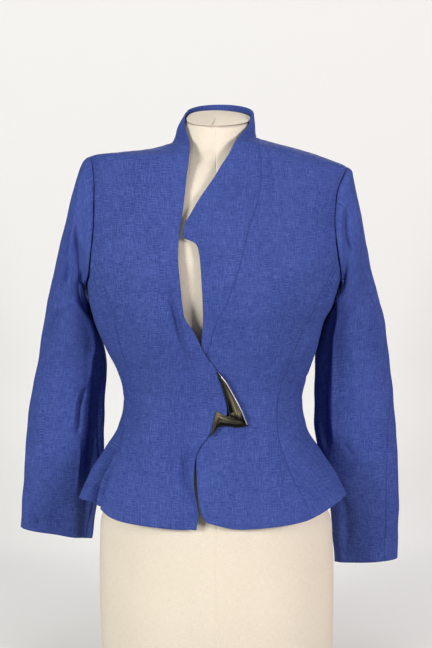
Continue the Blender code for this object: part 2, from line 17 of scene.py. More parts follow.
import bpy
import numpy as np
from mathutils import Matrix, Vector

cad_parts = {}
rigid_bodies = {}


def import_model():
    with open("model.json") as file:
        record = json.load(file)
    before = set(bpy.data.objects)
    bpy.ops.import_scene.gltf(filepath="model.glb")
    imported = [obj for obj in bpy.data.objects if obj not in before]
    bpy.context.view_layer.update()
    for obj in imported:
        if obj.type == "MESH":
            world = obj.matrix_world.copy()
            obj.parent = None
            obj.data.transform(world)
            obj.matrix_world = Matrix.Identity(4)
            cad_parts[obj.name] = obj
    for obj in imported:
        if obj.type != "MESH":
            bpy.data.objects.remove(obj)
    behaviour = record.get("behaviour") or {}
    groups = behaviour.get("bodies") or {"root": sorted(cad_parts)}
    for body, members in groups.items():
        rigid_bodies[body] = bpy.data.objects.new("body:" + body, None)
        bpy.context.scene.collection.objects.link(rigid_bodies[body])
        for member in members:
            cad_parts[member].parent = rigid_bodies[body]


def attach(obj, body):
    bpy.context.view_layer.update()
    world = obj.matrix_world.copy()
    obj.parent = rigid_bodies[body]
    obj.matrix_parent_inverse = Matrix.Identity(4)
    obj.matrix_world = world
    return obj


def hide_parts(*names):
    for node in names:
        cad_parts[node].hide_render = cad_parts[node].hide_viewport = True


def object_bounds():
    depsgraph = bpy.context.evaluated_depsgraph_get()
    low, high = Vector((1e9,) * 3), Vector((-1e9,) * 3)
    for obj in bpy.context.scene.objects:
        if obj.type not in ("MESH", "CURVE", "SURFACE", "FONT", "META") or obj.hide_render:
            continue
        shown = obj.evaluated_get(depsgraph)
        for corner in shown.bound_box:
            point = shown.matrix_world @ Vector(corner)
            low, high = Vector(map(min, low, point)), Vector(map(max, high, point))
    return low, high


bl_info = {
    "name": "Fitted jacket",
    "version": (1, 0, 0),
    "blender": (4, 5, 0),
    "location": "View3D > Sidebar > Jacket",
    "description": "Makes a fitted linen jacket on a dress form, with its clasp and a plain stage",
    "category": "Object",
}

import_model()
CAD_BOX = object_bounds()

MM = 0.001
HEM_LEVEL = 256.0
SHOULDER_TIP_LEVEL = 777.0
ARMPIT_LEVEL = 592.0
NECK_LEVEL = 809.0
COLLAR_TOP_LEVEL = 847.0
SCOOP_LEVEL = 576.0
# A panel that narrows to a point stops short of it: the left collar front at its foot, the left front at
# the neck.
PANEL_TIP = 5.0
NECK_TIP = 0.5
ARMHOLE_GAP = 0.3
# Places of the mesh's rows beside an edge, as shares of the rounding there, and the most of a piece's
# width or length that one rounding takes up.
EDGE_PLACES = (0.0, 0.1, 0.4, 1.0)
EDGE_MOST = 0.25
# Points at which a line is measured before its rows or columns are spaced along it.
FINE_ROWS = 1500
FINE_COLUMNS = 25
SHORTEST_NORMAL = 1e-9

# Half-widths to the wearer's right (-X) and left (+X), then y at the front, sides and back. Square is the
# ring's superellipse power. A ring's +X side is lifted by tilt and its back by pitch.
Ring = namedtuple("Ring", "level right left front side back square tilt pitch")
BODY_RINGS = [
    Ring(256, 197, 196, -147, -30, 150, 2.3, 0, 0),
    Ring(300, 184, 180, -137, -20, 138, 2.3, 0, 0),
    Ring(345, 163, 156, -120, -10, 122, 2.3, 0, 0),
    Ring(380, 146, 138, -107, -4, 107, 2.3, 0, 0),
    Ring(412, 139, 133, -100, 0, 97, 2.3, 0, 0),
    Ring(430, 139, 133, -99, 0, 95, 2.3, 0, 0),
    Ring(463, 147, 142, -104, 0, 95, 2.3, 0, 0),
    Ring(500, 165, 154, -113, 0, 99, 2.3, 0, 0),
    Ring(536, 180, 162, -121, 0, 103, 2.3, 0, 0),
    Ring(565, 188, 178, -125, 0, 106, 2.3, 0, 0),
    Ring(592, 193, 187, -125, 0, 108, 2.2, 0, 0),
    Ring(645, 213, 208, -117, 1, 110, 2.1, -2, 0),
    Ring(690, 212, 207, -104, 2, 107, 2.0, -4, 0),
    Ring(735, 204, 203, -90, 3, 98, 2.0, -6, 0),
    Ring(765, 193, 202, -79, 4, 88, 2.0, -8, 0),
    Ring(777, 183, 196, -76, 4, 84, 2.0, -8, 0),
    Ring(786, 142, 165, -71, 4, 80, 2.0, -4, 0),
    Ring(795, 98, 122, -67, 4, 77, 2.0, 0, 0),
    Ring(803, 75, 85, -63, 4, 75, 2.0, 2, 0),
    Ring(809, 64, 62, -60, 5, 73, 2.0, 4, 2),
    Ring(830, 56, 60, -53, 6, 70, 2.0, 2, 8),
    Ring(847, 46, 58, -47, 7, 67, 2.0, 2, 17),
]
FORM_RINGS = [
    Ring(0, 171, 179, -130, 0, 122, 2.3, 0, 0),
    Ring(130, 176, 181, -137, 0, 127, 2.3, 0, 0),
    Ring(233, 174, 177, -136, 0, 124, 2.3, 0, 0),
    Ring(262, 164, 165, -131, 0, 119, 2.3, 0, 0),
    Ring(290, 150, 150, -122, 0, 112, 2.3, 0, 0),
    Ring(345, 138, 132, -106, 0, 101, 2.3, 0, 0),
    Ring(380, 131, 124, -92, 0, 92, 2.3, 0, 0),
    Ring(420, 125, 119, -87, 0, 84, 2.3, 0, 0),
    Ring(463, 132, 127, -90, 0, 82, 2.3, 0, 0),
    Ring(500, 148, 138, -97, 0, 86, 2.3, 0, 0),
    Ring(545, 164, 150, -107, 0, 90, 2.3, 0, 0),
    Ring(592, 173, 167, -115, 0, 94, 2.2, 0, 0),
    Ring(650, 172, 167, -108, 0, 94, 2.1, 0, 0),
    Ring(700, 165, 161, -94, 0, 88, 2.0, 0, 0),
    Ring(740, 150, 147, -80, 2, 80, 2.0, 0, 0),
    Ring(762, 122, 122, -68, 3, 73, 2.0, 0, 0),
    Ring(778, 84, 86, -58, 4, 67, 2.0, 0, 0),
    Ring(795, 61, 60, -53, 4, 63, 2.0, 0, 1),
    Ring(815, 52, 55, -50, 5, 60, 2.0, 0, 6),
    Ring(842, 42, 53.5, -46, 5, 54, 2.0, 0, 13),
]

# How far the hem's line lifts the cloth over its ring, by the angle. The lift grows from the hip to the
# hem, by a power of the way down.
Lift = namedtuple("Lift", "angle lift")
HEM_LINE = [
    Lift(-180, 4), Lift(-135, 10), Lift(-92, 20), Lift(-76, 20), Lift(-67.5, 16), Lift(-62, 7),
    Lift(-56, 2.5), Lift(-45, -0.5), Lift(-30, -3), Lift(-15, -4.5), Lift(0, -4), Lift(24, -3.5),
    Lift(36, -2.2), Lift(46, 0), Lift(55, 4), Lift(62, 11), Lift(69, 19), Lift(80, 26.5), Lift(92, 28),
    Lift(135, 10), Lift(180, 4),
]
HIP_LEVEL = 380.0
HEM_GROWTH = 1.5

# Flutes and dents of the flared hem. Each grows from its top level to full depth at the hem, by a power
# of the way down.
Flute = namedtuple("Flute", "angle spread top depth")
FLUTES = [
    Flute(-77, 5, 405, -13),
    Flute(-89, 7, 400, 12),
    Flute(-112, 18, 400, -24),
    Flute(112, 18, 400, -24),
    Flute(-150, 14, 390, 7),
    Flute(150, 14, 390, 7),
    Flute(-17, 5, 385, -6),
    Flute(90, 9, 380, 5),
]
FLUTE_GROWTH = 1.2
# Fullness that the curved seams leave at the chest, alike on both sides.
Fullness = namedtuple("Fullness", "angle level spread height out")
CHEST = Fullness(34, 602, 20, 55, 8)
# How far the right front lifts to lap over the left. It is level with it at the first angle and fully
# over it at the second, and the lift ends between the two levels.
LAP_RISE = 3.2
LAP_ANGLES = (-60, -25)
LAP_LEVELS = (520, 580)

# Edges and seams, from the hem up: how far to the side of the centre each line is at a level.
Cross = namedtuple("Cross", "level x")
RIGHT_FRONT_EDGE = [
    Cross(256, -27.3), Cross(277, -24.3), Cross(298, -28), Cross(322, -30), Cross(350, -28),
    Cross(385, -6), Cross(397, 9), Cross(415, 17), Cross(440, 14), Cross(474, 3), Cross(498, -13),
    Cross(529, -27), Cross(558, -43), Cross(600, -47), Cross(648, -51), Cross(684, -49),
    Cross(703, -46), Cross(749, -41), Cross(789, -37), Cross(806, -37), Cross(824, -42),
    Cross(839, -45), Cross(847, -45.8),
]
LEFT_FRONT_EDGE = [
    Cross(256, 36), Cross(257, 25), Cross(259.3, 12.5), Cross(262.5, 0), Cross(265, -10),
    Cross(269.5, -15), Cross(276, -19), Cross(290, -23.5), Cross(306, -25.5), Cross(343, -28),
    Cross(380, -34), Cross(450, -34), Cross(513, -20), Cross(558, -17), Cross(607, -19),
    Cross(651, -23.5), Cross(657, -26.2), Cross(661.5, -32), Cross(664, -39), Cross(666, -43.5),
    Cross(668, -45), Cross(675, -44.9), Cross(682, -44), Cross(688, -42.4), Cross(692, -39.5),
    Cross(700, -34.7), Cross(718, -24.3), Cross(731, -15.9), Cross(755, 0), Cross(773, 10),
    Cross(788, 20), Cross(805, 30), Cross(819, 40), Cross(834, 51), Cross(847, 54),
]
COLLAR_SEAM = [
    Cross(476, -31), Cross(502, -11), Cross(540, 0), Cross(575, 17), Cross(622, 33), Cross(678, 47),
    Cross(720, 61), Cross(756, 67), Cross(778, 67), Cross(800, 64), Cross(809, 62),
]
# The seams of the side panels, which end on the armhole at the same level at the front and at the back.
# Under the arm the panel's top is fitted to the armhole in rounds, and each level there is found by
# halving.
SIDE_TOP_LEVEL = 636.0
SCOOP_ROUNDS = 20
HALVINGS = 40
SIDE_FRONT_SEAM = {
    -1: [
        Cross(256, -171), Cross(279, -166), Cross(334, -148), Cross(384, -131), Cross(412, -126),
        Cross(450, -126), Cross(509, -138), Cross(561, -150), Cross(611, -167), Cross(636, -181),
    ],
    1: [
        Cross(256, 140), Cross(278, 134), Cross(310, 117), Cross(344, 103), Cross(386, 92),
        Cross(414, 91), Cross(451, 98), Cross(518, 122), Cross(590, 156), Cross(636, 180),
    ],
}
SIDE_BACK_SEAM = {
    -1: [
        Cross(256, -150), Cross(345, -115), Cross(420, -96), Cross(500, -118), Cross(592, -160),
        Cross(636, -181),
    ],
    1: [
        Cross(256, 146), Cross(345, 110), Cross(420, 92), Cross(500, 112), Cross(592, 155),
        Cross(636, 180),
    ],
}
# The stand collar leaves the shoulder seam at the neck and its seam runs backwards as it rises.
Turn = namedtuple("Turn", "level angle")
COLLAR_SIDE = [Turn(809, 90), Turn(847, 115)]
# The armholes, as distances outwards from the centre.
ARMHOLE = {
    -1: [
        Cross(592, 193), Cross(612, 184), Cross(636, 181), Cross(690, 177), Cross(735, 177),
        Cross(777, 183),
    ],
    1: [
        Cross(592, 187), Cross(612, 184), Cross(636, 180), Cross(690, 175), Cross(735, 179),
        Cross(777, 196),
    ],
}

# Sleeve sections from the armhole down: the outer and inner points in the front view, how far back the
# middle lies, and the half-depth. The first section is bent onto the armhole. -1 is the wearer's right.
Section = namedtuple("Section", "number outer_x outer_z inner_x inner_z back depth")
SLEEVE_SECTIONS = {
    -1: [
        Section(0, -183, 785, -193, 592, 3, 50),
        Section(1, -196, 776, -195, 586, 4, 56),
        Section(2, -207, 750, -195, 578, 7, 60),
        Section(3, -220, 701, -189.8, 565, 11, 63),
        Section(4, -239, 626, -184.2, 543, 18, 61),
        Section(5, -259, 540, -173, 513, 26, 54),
        Section(6, -271, 474, -166, 465, 33, 46),
        Section(7, -287, 393, -171, 393, 37, 41),
        Section(8, -294, 315, -172, 321, 38, 37),
        Section(9, -298, 265, -181, 265, 37, 32),
        Section(10, -301.5, 214, -191.5, 196, 35, 26),
    ],
    1: [
        Section(0, 196, 769, 187, 592, 3, 50),
        Section(1, 203, 762, 189, 586, 4, 56),
        Section(2, 208, 744, 186.5, 578, 7, 60),
        Section(3, 219, 698, 179.6, 565, 11, 63),
        Section(4, 233.5, 626, 167.4, 543, 18, 61),
        Section(5, 256, 543, 158.6, 513, 26, 54),
        Section(6, 267, 474, 153, 467, 33, 44),
        Section(7, 277, 387, 153, 381, 37, 38),
        Section(8, 283, 315, 164, 315, 38, 35),
        Section(9, 285, 237, 179, 240, 37, 31),
        Section(10, 284, 166, 185, 159, 35, 26),
    ],
}
# A section's superellipse power, and the number of the section at which the armhole's outline has faded
# out.
SLEEVE_SQUARE = 2.2
ARMHOLE_FADE = 3.0
# Turns round the sleeve of its two seams: 0 is the outer line, 90 the front and 180 the inner line.
Seam = namedtuple("Seam", "number turn")
SLEEVE_SEAMS = {
    -1: ([Seam(0, -40), Seam(10, -40)], [Seam(0, 165), Seam(10, 165)]),
    1: (
        [
            Seam(0, 0), Seam(4, 2), Seam(5, 8), Seam(6, 19), Seam(7, 38), Seam(8, 50), Seam(9, 57),
            Seam(10, 59),
        ],
        [Seam(0, 200), Seam(10, 200)],
    ),
}
# Turn between the lines along which a sleeve's rows are spaced.
SLEEVE_LINE_TURN = 45
# The sleeve head swells just past the armhole seam: how far, where its middle is, and its spread. It is
# full over the shoulder and ends below it, at these cosines of the turn round the sleeve.
Swell = namedtuple("Swell", "out middle spread")
SLEEVE_HEAD = Swell(1.5, 9.0, 7.0)
HEAD_END, HEAD_FULL = -0.2, 0.6

# The clasp as a bent strip: a point of its inner and of its outer outline at each section, from the
# blade's tip to the foot's tip, and the height of its middle line over the rim.
Strip = namedtuple("Strip", "number inner_x inner_z outer_x outer_z crown")
CLASP = [
    Strip(0, 3.0, 474.5, 4.2, 474.5, 0.3),
    Strip(1, 5.2, 465, 10.8, 466, 0.8),
    Strip(2, 8.2, 457, 16.5, 458, 1.2),
    Strip(3, 11.2, 446, 22.4, 447, 1.6),
    Strip(4, 14.6, 436, 28.0, 436, 2.0),
    Strip(5, 17.2, 426, 33.0, 426, 2.2),
    Strip(6, 19.0, 416, 38.5, 414, 2.3),
    Strip(7, 19.8, 409, 45.4, 395, 2.0),
    Strip(8, 15.2, 410, 33.0, 393, 2.2),
    Strip(9, 7.5, 414, 19.0, 395, 2.2),
    Strip(10, 1.5, 417, 9.0, 396, 2.0),
    Strip(11, -1.8, 403, 3.6, 393, 1.2),
    Strip(12, -4.2, 391, -0.6, 387, 0.8),
    Strip(13, -6.8, 381, -5.8, 380.5, 0.3),
]
# The clasp's back over the body's rings: on the lapped front, and a little off it.
CLASP_GAP = 0.7
CLASP_REST = LAP_RISE + CLASP_GAP
# Corners of the strip's section, from its outer edge to its inner one. Across is a share of the strip's
# width with a number of rim widths added. A corner on the face is at the rim's height less a drop, with a
# share of the crown added. The others are on the clasp's back.
Corner = namedtuple("Corner", "across rims face drop crown")
CLASP_SECTION = [
    Corner(0, 0, 0, 0, 0),
    Corner(0, 0, 1, 0.6, 0),
    Corner(0, 0.1, 1, 0.5, 0),
    Corner(0, 1, 1, 0, 0),
    Corner(0, 1.3, 1, 0.7, 0),
    Corner(0.35, 0, 1, 0.7, -0.1),
    Corner(0.7, 0, 1, 0.7, 0.15),
    Corner(1, -0.6, 1, 0.7, 0),
    Corner(1, 0, 1, 1.2, 0),
    Corner(1, 0, 0, 0, 0),
]
# The rim narrows where it would take up more than this share of the strip.
RIM_MOST = 0.2
# Edges that turn by more than this angle are sharp, and bevelled in so many parts.
SHARP_ANGLE = math.radians(18)
BEVEL_PARTS = 2
# Stations of the blade that lie on its smooth curve, and how many parts lie between two of them.
BLADE_END = 6
BLADE_PARTS = 4
# The painted highlight on the polished rim, a bright tone in place of the glint on it: the middle of its
# facet, counted in corners from the strip's outer edge, half the facet, and the station where it ends.
HIGHLIGHT_FACET = 2.5
HIGHLIGHT_HALF = 0.5
HIGHLIGHT_END = BLADE_END + 0.9
# The painted reflection, a brown and olive tone in place of what the dark metal mirrors: its middle and
# spread on the blade and on the foot, in facets, and the station where the foot's begin. It is full out to
# a share of its spread. Along the strip it has a share at each of some stations.
BLADE_REFLECTION, FOOT_REFLECTION = 5.0, 6.3
BLADE_SPREAD, FOOT_SPREAD = 1.1, 2.0
FOOT_START = BLADE_END + 0.7
REFLECTION_FULL = 0.5
ReflectionShare = namedtuple("ReflectionShare", "station share")
REFLECTION_SHARES = [
    ReflectionShare(0, 0.1), ReflectionShare(2.5, 0.35), ReflectionShare(5, 0.9), ReflectionShare(6.2, 1.0), ReflectionShare(6.7, 0.0),
    ReflectionShare(7.1, 0.45), ReflectionShare(8, 0.4), ReflectionShare(9.5, 1.0), ReflectionShare(11, 0.5),
]
# Streaks in the painted reflection, as facets by stations: their detail, the noise between bare and full,
# and the least that is left.
STREAK_SIZE = (0.5, 3.0)
STREAK_DETAIL = 2.0
STREAK_BARE, STREAK_FULL, STREAK_LEAST = 0.3, 0.55, 0.3
# Fine scratches: how many to a metre, their detail, their depth in metres, and the roughness of the
# smoothest and dullest.
SCRATCH_SCALE = 900.0
SCRATCH_DETAIL = 2.0
SCRATCH_DEPTH = 0.00001
SMOOTH_METAL, DULL_METAL = 0.12, 0.28

# A crease is seen from one side of the jacket. Its line runs through points of that view, each with the
# height of the crease there: below 0 is a trough, above 0 a ridge.
Crease = namedtuple("Crease", "view width line")
BODY_CREASES = [
    Crease("front", 9, [
        (-76, 609, 0), (-70, 593, -4), (-63, 575, -7), (-57, 553, -8), (-52, 531, -7), (-48, 512, -4.5),
        (-44, 489, -2.5), (-40, 466, 0),
    ]),
    Crease("front", 7, [(-65, 590, 0), (-52, 564, 3), (-45, 542, 4), (-40, 519, 3), (-36, 497, 0)]),
    Crease("front", 6, [(-165, 613, 0), (-156, 593, 1.8), (-146, 571, 1.6), (-136, 545, 0)]),
    Crease("front", 6, [(-173, 601, 0), (-163, 578, -1.8), (-152, 556, -1.3), (-144, 532, 0)]),
    Crease("front", 4, [(-86, 448, 0), (-74, 446, -0.9), (-64, 443, -0.8), (-52, 439, 0)]),
    Crease("front", 4, [(-67, 418, 0), (-60, 411, -1), (-52, 403, -0.8), (-45, 393, 0)]),
    Crease("front", 9, [
        (-43, 379, 0), (-44, 366, -5), (-45, 345, -8), (-43, 325, -8), (-36, 304, -6), (-31, 286, -4),
        (-27, 268, -2),
    ]),
    Crease("front", 5, [(-36, 370, 0), (-36, 349, 3), (-33, 321, 3.5), (-29, 297, 2), (-27, 275, 0)]),
    Crease("front", 5, [(-45, 483, 0), (-40, 462, -1.6), (-36, 439, -1.6), (-38, 412, 0)]),
    Crease("front", 2, [(70, 809, 0), (69, 784, -1.2), (68, 761, -0.9), (66, 741, 0)]),
    Crease("front", 9, [(80, 799, 0), (84, 775, -3.1), (87, 746, -2.6), (86, 714, 0)]),
    Crease("front", 4, [(-4, 639, 0), (9, 626, -1.2), (21, 612, -0.9), (32, 598, 0)]),
    Crease("front", 4, [(110, 461, 0), (121, 445, -2.1), (133, 425, -1.8), (133, 413, 0)]),
    Crease("front", 7, [(122, 632, 0), (137, 609, -1.4), (148, 588, -1), (152, 567, 0)]),
    Crease("front", 6, [(68, 473, 0), (83, 460, -1.3), (101, 452, -1.4), (118, 450, 0)]),
    Crease("back", 6, [(-62, 434, 0), (-38, 427, -2.3), (-8, 424, -2), (14, 428, 0)]),
    Crease("back", 5, [(22, 441, 0), (44, 447, -2), (70, 446, -1.7), (92, 438, 0)]),
    Crease("back", 5, [(-114, 474, 0), (-94, 459, -2.1), (-76, 450, -1.6), (-58, 446, 0)]),
    Crease("back", 12, [(-126, 712, 0), (-114, 668, -3.1), (-106, 624, -2.9), (-100, 574, 0)]),
    Crease("back", 13, [(130, 700, 0), (121, 655, -2.9), (114, 612, -3.1), (112, 580, 0)]),
    Crease("back", 6, [(-168, 652, 0), (-148, 636, -2.2), (-128, 626, -1.6), (-108, 622, 0)]),
    Crease("back", 6, [(160, 640, 0), (142, 624, -2), (124, 616, -1.4), (110, 614, 0)]),
    Crease("back", 7, [(-44, 791, 0), (-18, 785, -1.7), (12, 783, -1.6), (38, 789, 0)]),
    Crease("back", 8, [(38, 560, 0), (33, 525, 1.6), (30, 490, 1.8), (34, 462, 0)]),
    Crease("right", 8, [(-46, 430, 0), (-22, 421, -1.1), (4, 422, -1.2), (30, 431, 0)]),
    Crease("right", 5, [(-12, 452, 0), (10, 459, -1.6), (34, 462, -1.3), (50, 458, 0)]),
    Crease("left", 8, [(-38, 418, 0), (-16, 424, -1.1), (12, 423, -1), (36, 415, 0)]),
    Crease("left", 6, [(-52, 470, 0), (-30, 458, -1.7), (-4, 454, -1.4), (20, 458, 0)]),
    Crease("front", 7, [
        (-142, 381, 0), (-150, 361, -10), (-159, 335, -19), (-167, 313, -24), (-174, 291, -26),
        (-179, 272, -26),
    ]),
]
SLEEVE_CREASES = {
    -1: [
        Crease("front", 5, [
            (-189, 768, 0), (-196, 752, 4), (-201, 719, 6.5), (-203, 698, 7), (-207, 678, 7),
            (-210, 651, 6.5), (-213, 625, 6), (-214, 604, 5), (-213, 587, 4), (-211, 571, 0),
        ]),
        Crease("front", 6, [
            (-200, 756, 0), (-205, 722, -7), (-209, 700, -9.5), (-213, 674, -9), (-220, 647, -7),
            (-226, 630, 0),
        ]),
        Crease("front", 5, [(-203, 698, 0), (-199, 674, 5.5), (-195, 656, 5), (-192, 643, 0)]),
        Crease("front", 6, [
            (-203, 694, 0), (-202, 676, -3.5), (-201, 656, -4.5), (-200, 636, -4), (-199, 618, -2),
            (-199, 602, 0),
        ]),
        Crease("front", 7, [
            (-217, 634, 0), (-220, 621, -9), (-222, 608, -9), (-227, 591, -5.5), (-232, 580, 0),
        ]),
        Crease("front", 6, [
            (-216, 602, 0), (-223, 591, 2.6), (-233, 577, 2.4), (-243, 566, 1.2), (-250, 557, 0),
        ]),
        Crease("front", 9, [(-208, 574, 0), (-220, 565, 2.4), (-235, 559, 2.4), (-250, 553, 0)]),
        Crease("front", 10, [
            (-228, 560, 0), (-241, 540, -7), (-249, 523, -7.5), (-256, 505, -4), (-261, 490, 0),
        ]),
        Crease("front", 8, [
            (-189, 622, 0), (-197, 606, -4), (-200, 590, -6), (-198, 575, -6), (-193, 560, -5),
            (-187, 541, 0),
        ]),
        Crease("front", 6, [
            (-212, 580, 0), (-205, 568, 3.5), (-195, 554, 5), (-188, 534, 5), (-183, 511, 5),
            (-182, 495, 5), (-185, 479, 5), (-186, 459, 4), (-189, 444, 2), (-192, 432, 0),
        ]),
        Crease("front", 5, [
            (-193, 438, 0), (-200, 424, -7), (-205, 408, -8.5), (-207, 393, -8.5), (-208, 373, -5),
            (-208, 362, 0),
        ]),
        Crease("front", 6, [(-202, 432, 0), (-209, 413, 3), (-212, 388, 3), (-213, 365, 0)]),
        Crease("front", 17, [
            (-174, 500, 0), (-175, 470, -7), (-177, 440, -12), (-179, 410, -15), (-181, 384, -16),
            (-183, 360, -16), (-186, 332, -16), (-189, 303, -15), (-193, 272, -13), (-196, 242, -11),
            (-198, 205, -10),
        ]),
        Crease("front", 4, [
            (-207, 361, 0), (-205, 337, 2.2), (-207, 313, 2.2), (-210, 285, 2), (-212, 265, 0),
        ]),
        Crease("front", 10, [(-281, 264, 0), (-278, 246, -3), (-274, 232, -4.5), (-273, 224, -5)]),
        Crease("front", 7, [(-292, 251, 0), (-291, 235, 1.5), (-290, 225, 1.5)]),
        Crease("front", 45, [(-241, 284, 0), (-241, 253, -3), (-242, 223, -7), (-243, 213, -9)]),
        Crease("back", 9, [(-258, 548, 0), (-240, 530, -3), (-218, 518, -3.4), (-196, 514, 0)]),
        Crease("back", 7, [(-262, 500, 0), (-246, 492, -2.2), (-230, 489, -1.4), (-216, 492, 0)]),
        Crease("back", 9, [(-256, 522, 0), (-236, 508, 1.8), (-212, 502, 1.4), (-200, 504, 0)]),
        Crease("back", 13, [(-246, 662, 0), (-232, 628, -4.9), (-226, 594, -4.1), (-224, 560, 0)]),
        Crease("back", 11, [(-250, 392, 0), (-244, 356, -3.6), (-242, 318, -4.1), (-246, 276, 0)]),
    ],
    1: [
        Crease("front", 5, [(198, 740, 0), (203, 713, 3.5), (209, 688, 4), (213, 667, 3), (215, 650, 0)]),
        Crease("front", 6, [
            (192, 710, 0), (192, 696, -6.5), (192, 678, -6.5), (194, 659, -6.5), (198, 649, -4.5),
            (200, 638, 0),
        ]),
        Crease("front", 6, [
            (202, 644, 0), (207, 630, 3.5), (208, 613, 3.5), (205, 595, 2.5), (204, 578, 0),
        ]),
        Crease("front", 7, [
            (194, 628, 0), (191, 613, -3), (189, 600, -4.5), (187, 586, -3), (185, 576, 0),
        ]),
        Crease("front", 9, [
            (213, 655, 0), (217, 632, -3.5), (228, 605, -5), (233, 585, -5), (237, 566, 0),
        ]),
        Crease("front", 6, [
            (188, 596, 0), (183, 577, 3.5), (182, 558, 5), (180, 533, 5), (177, 513, 5), (177, 495, 5),
            (178, 436, 5), (178, 394, 5), (179, 373, 4), (181, 347, 0),
        ]),
        Crease("front", 10, [
            (181, 571, 0), (177, 552, -5), (172, 528, -8), (168, 508, -9), (166, 465, -9), (164, 436, -9),
            (164, 404, -9), (166, 376, -8), (169, 350, -4), (173, 329, 0),
        ]),
        Crease("front", 6, [(189, 352, 0), (202, 342, -2.4), (208, 333, -1.8), (213, 325, 0)]),
        Crease("front", 40, [(207, 267, 0), (208, 224, -3), (208, 191, -6), (209, 172, -8)]),
        Crease("front", 14, [
            (190, 309, 0), (193, 266, -4), (199, 244, -4.5), (200, 202, -4), (196, 173, -3),
        ]),
        Crease("front", 6, [(219, 514, 0), (232, 509, 1.6), (243, 505, 1.6), (253, 503, 0.4)]),
        Crease("front", 7, [(214, 496, 0), (230, 495, -1.6), (242, 493, -1.8), (256, 486, -0.7)]),
        Crease("front", 15, [(204, 527, 0), (209, 480, 2.7), (213, 426, 3.1), (216, 372, 0)]),
        Crease("back", 9, [(254, 536, 0), (236, 520, -2.8), (212, 506, -3.2), (190, 502, 0)]),
        Crease("back", 7, [(260, 484, 0), (244, 477, -2.2), (226, 475, -1.6), (206, 480, 0)]),
        Crease("back", 9, [(252, 508, 0), (232, 496, 1.7), (208, 490, 1.4), (194, 493, 0)]),
        Crease("back", 13, [(238, 650, 0), (226, 612, -4.5), (220, 576, -3.8), (218, 546, 0)]),
        Crease("back", 11, [(236, 372, 0), (230, 334, -3.4), (232, 292, -3.8), (238, 246, 0)]),
    ],
}
# Which two coordinates a view shows, which one points at the viewer, and its sign there.
VIEWS = {"front": (0, 2, 1, -1), "back": (0, 2, 1, 1), "right": (1, 2, 0, -1), "left": (1, 2, 0, 1)}
# Parts of a crease's line in one width of it, and how many widths away the crease ends.
CREASE_PARTS = 5
CREASE_REACH = 3
# How crisp a crease's crest is, and the share of the cloth's normal that points at the viewer where a
# crease starts and where it has its full height.
CREASE_CRISP = 6
FACING_START, FACING_FULL = 0.05, 0.35
# Sleeve creases fade out this close to the armhole.
ARMHOLE_CALM = 14.0
# Lengths of the slow waves that keep flat cloth uneven.
SWAY_LENGTHS = (31, 43, 58, 77, 104, 140)
SWAY_SEED = 11
# Lengths of the small waves along a sewn seam, and how far from it they reach.
PUCKER_LENGTHS = (9, 13, 21, 34)
PUCKER_SEED = 5
PUCKER_REACH = 8.0
SEAM_DIP_REACH = 2.6
# Distance from the centre, to the side, of the warp thread that hangs plumb in each panel.
PLUMB = {
    "front_right": -80, "front_left": 80, "front_left_collar": 30, "back_left": 80, "back_right": -80,
    "collar_back": 0,
}
# Sizes of the weave's noises in metres: yarns and slubs, each along the warp and along the weft, and
# clouds. Then the detail of each, and the mean of any noise.
YARNS = ((0.0008, 0.009), (0.009, 0.0008))
SLUBS = ((0.0008, 0.020), (0.018, 0.0008))
CLOUDS = (0.060, 0.075)
YARN_DETAIL, SLUB_DETAIL, CLOUD_DETAIL = 2.0, 1.0, 3.0
NOISE_MEAN = 0.5
# The noise at which a slub starts and is full. Then the weave's mean tone, what the yarns and the clouds
# add to it, and the height of a crossing beside that of a slub.
SLUB_START, SLUB_FULL = 0.56, 0.72
MEAN_TONE = 0.36
YARN_TONE, CLOUD_TONE = 0.95, 0.35
CROSSING_HEIGHT = 0.5
# Of any woven cloth: how much smoother its lightest threads are, its shine, and the spread of its sheen.
LIGHT_THREAD_POLISH = 0.15
CLOTH_SHINE = 0.25
SHEEN_SPREAD = 0.45

# Net cut of a cloth piece before it was sewn: greatest width and length in metres, area in square
# metres.
Cut = namedtuple("Cut", "width length area")


def number(name, description, default, **more):
    return bpy.props.FloatProperty(name=name, description=description, default=default, **more)


def length(name, description, default):
    return number(name, description, default, unit="LENGTH", precision=4)


def share(name, description, default):
    return number(name, description, default, min=0, subtype="FACTOR")


def power(name, description, default):
    return number(name, description, default, min=0, unit="POWER")


def colour(name, description, default):
    return bpy.props.FloatVectorProperty(
        name=name, description=description, default=default, size=3, min=0, max=1, subtype="COLOR"
    )


class JacketCloth(bpy.types.PropertyGroup):
    """Sizes and colours of the jacket's cloth."""

    wall: length("Thickness", "Cloth with its facing, from face to face", 0.0022)
    edge: length("Edge", "Rounding of a piece's edges", 0.0006)
    step: length("Mesh step", "Distance between the rows of a piece's mesh", 0.0028)
    creases: share("Creases", "Depth of the creases, 1 as worn", 1.0)
    sway: length("Unevenness", "How far flat cloth sways in and out", 0.0005)
    pucker: length("Pucker", "Height of the small waves along a seam", 0.00025)
    seam_dip: length("Seam dip", "How far the cloth is drawn in at a seam", 0.0005)
    thread: length("Thread", "Width of one linen thread", 0.0008)
    deep: colour("Deep blue", "The linen's darkest threads", (0.0185, 0.0345, 0.189))
    light: colour("Light blue", "The linen's lightest threads", (0.0635, 0.103, 0.360))


class FormLooks(bpy.types.PropertyGroup):
    """Sizes and colours of the dress form."""

    thread: length("Thread", "Width of one canvas thread", 0.0007)
    deep: colour("Deep canvas", "The canvas's darkest threads", (0.77, 0.67, 0.545))
    light: colour("Light canvas", "The canvas's lightest threads", (0.87, 0.79, 0.675))
    seam: length("Seam", "Depth of the form's seams", 0.0008)
    dome: length("Neck cap", "How far the neck cap is domed", 0.003)
    base_edge: length("Base edge", "Rounding of the edge that it stands on", 0.006)


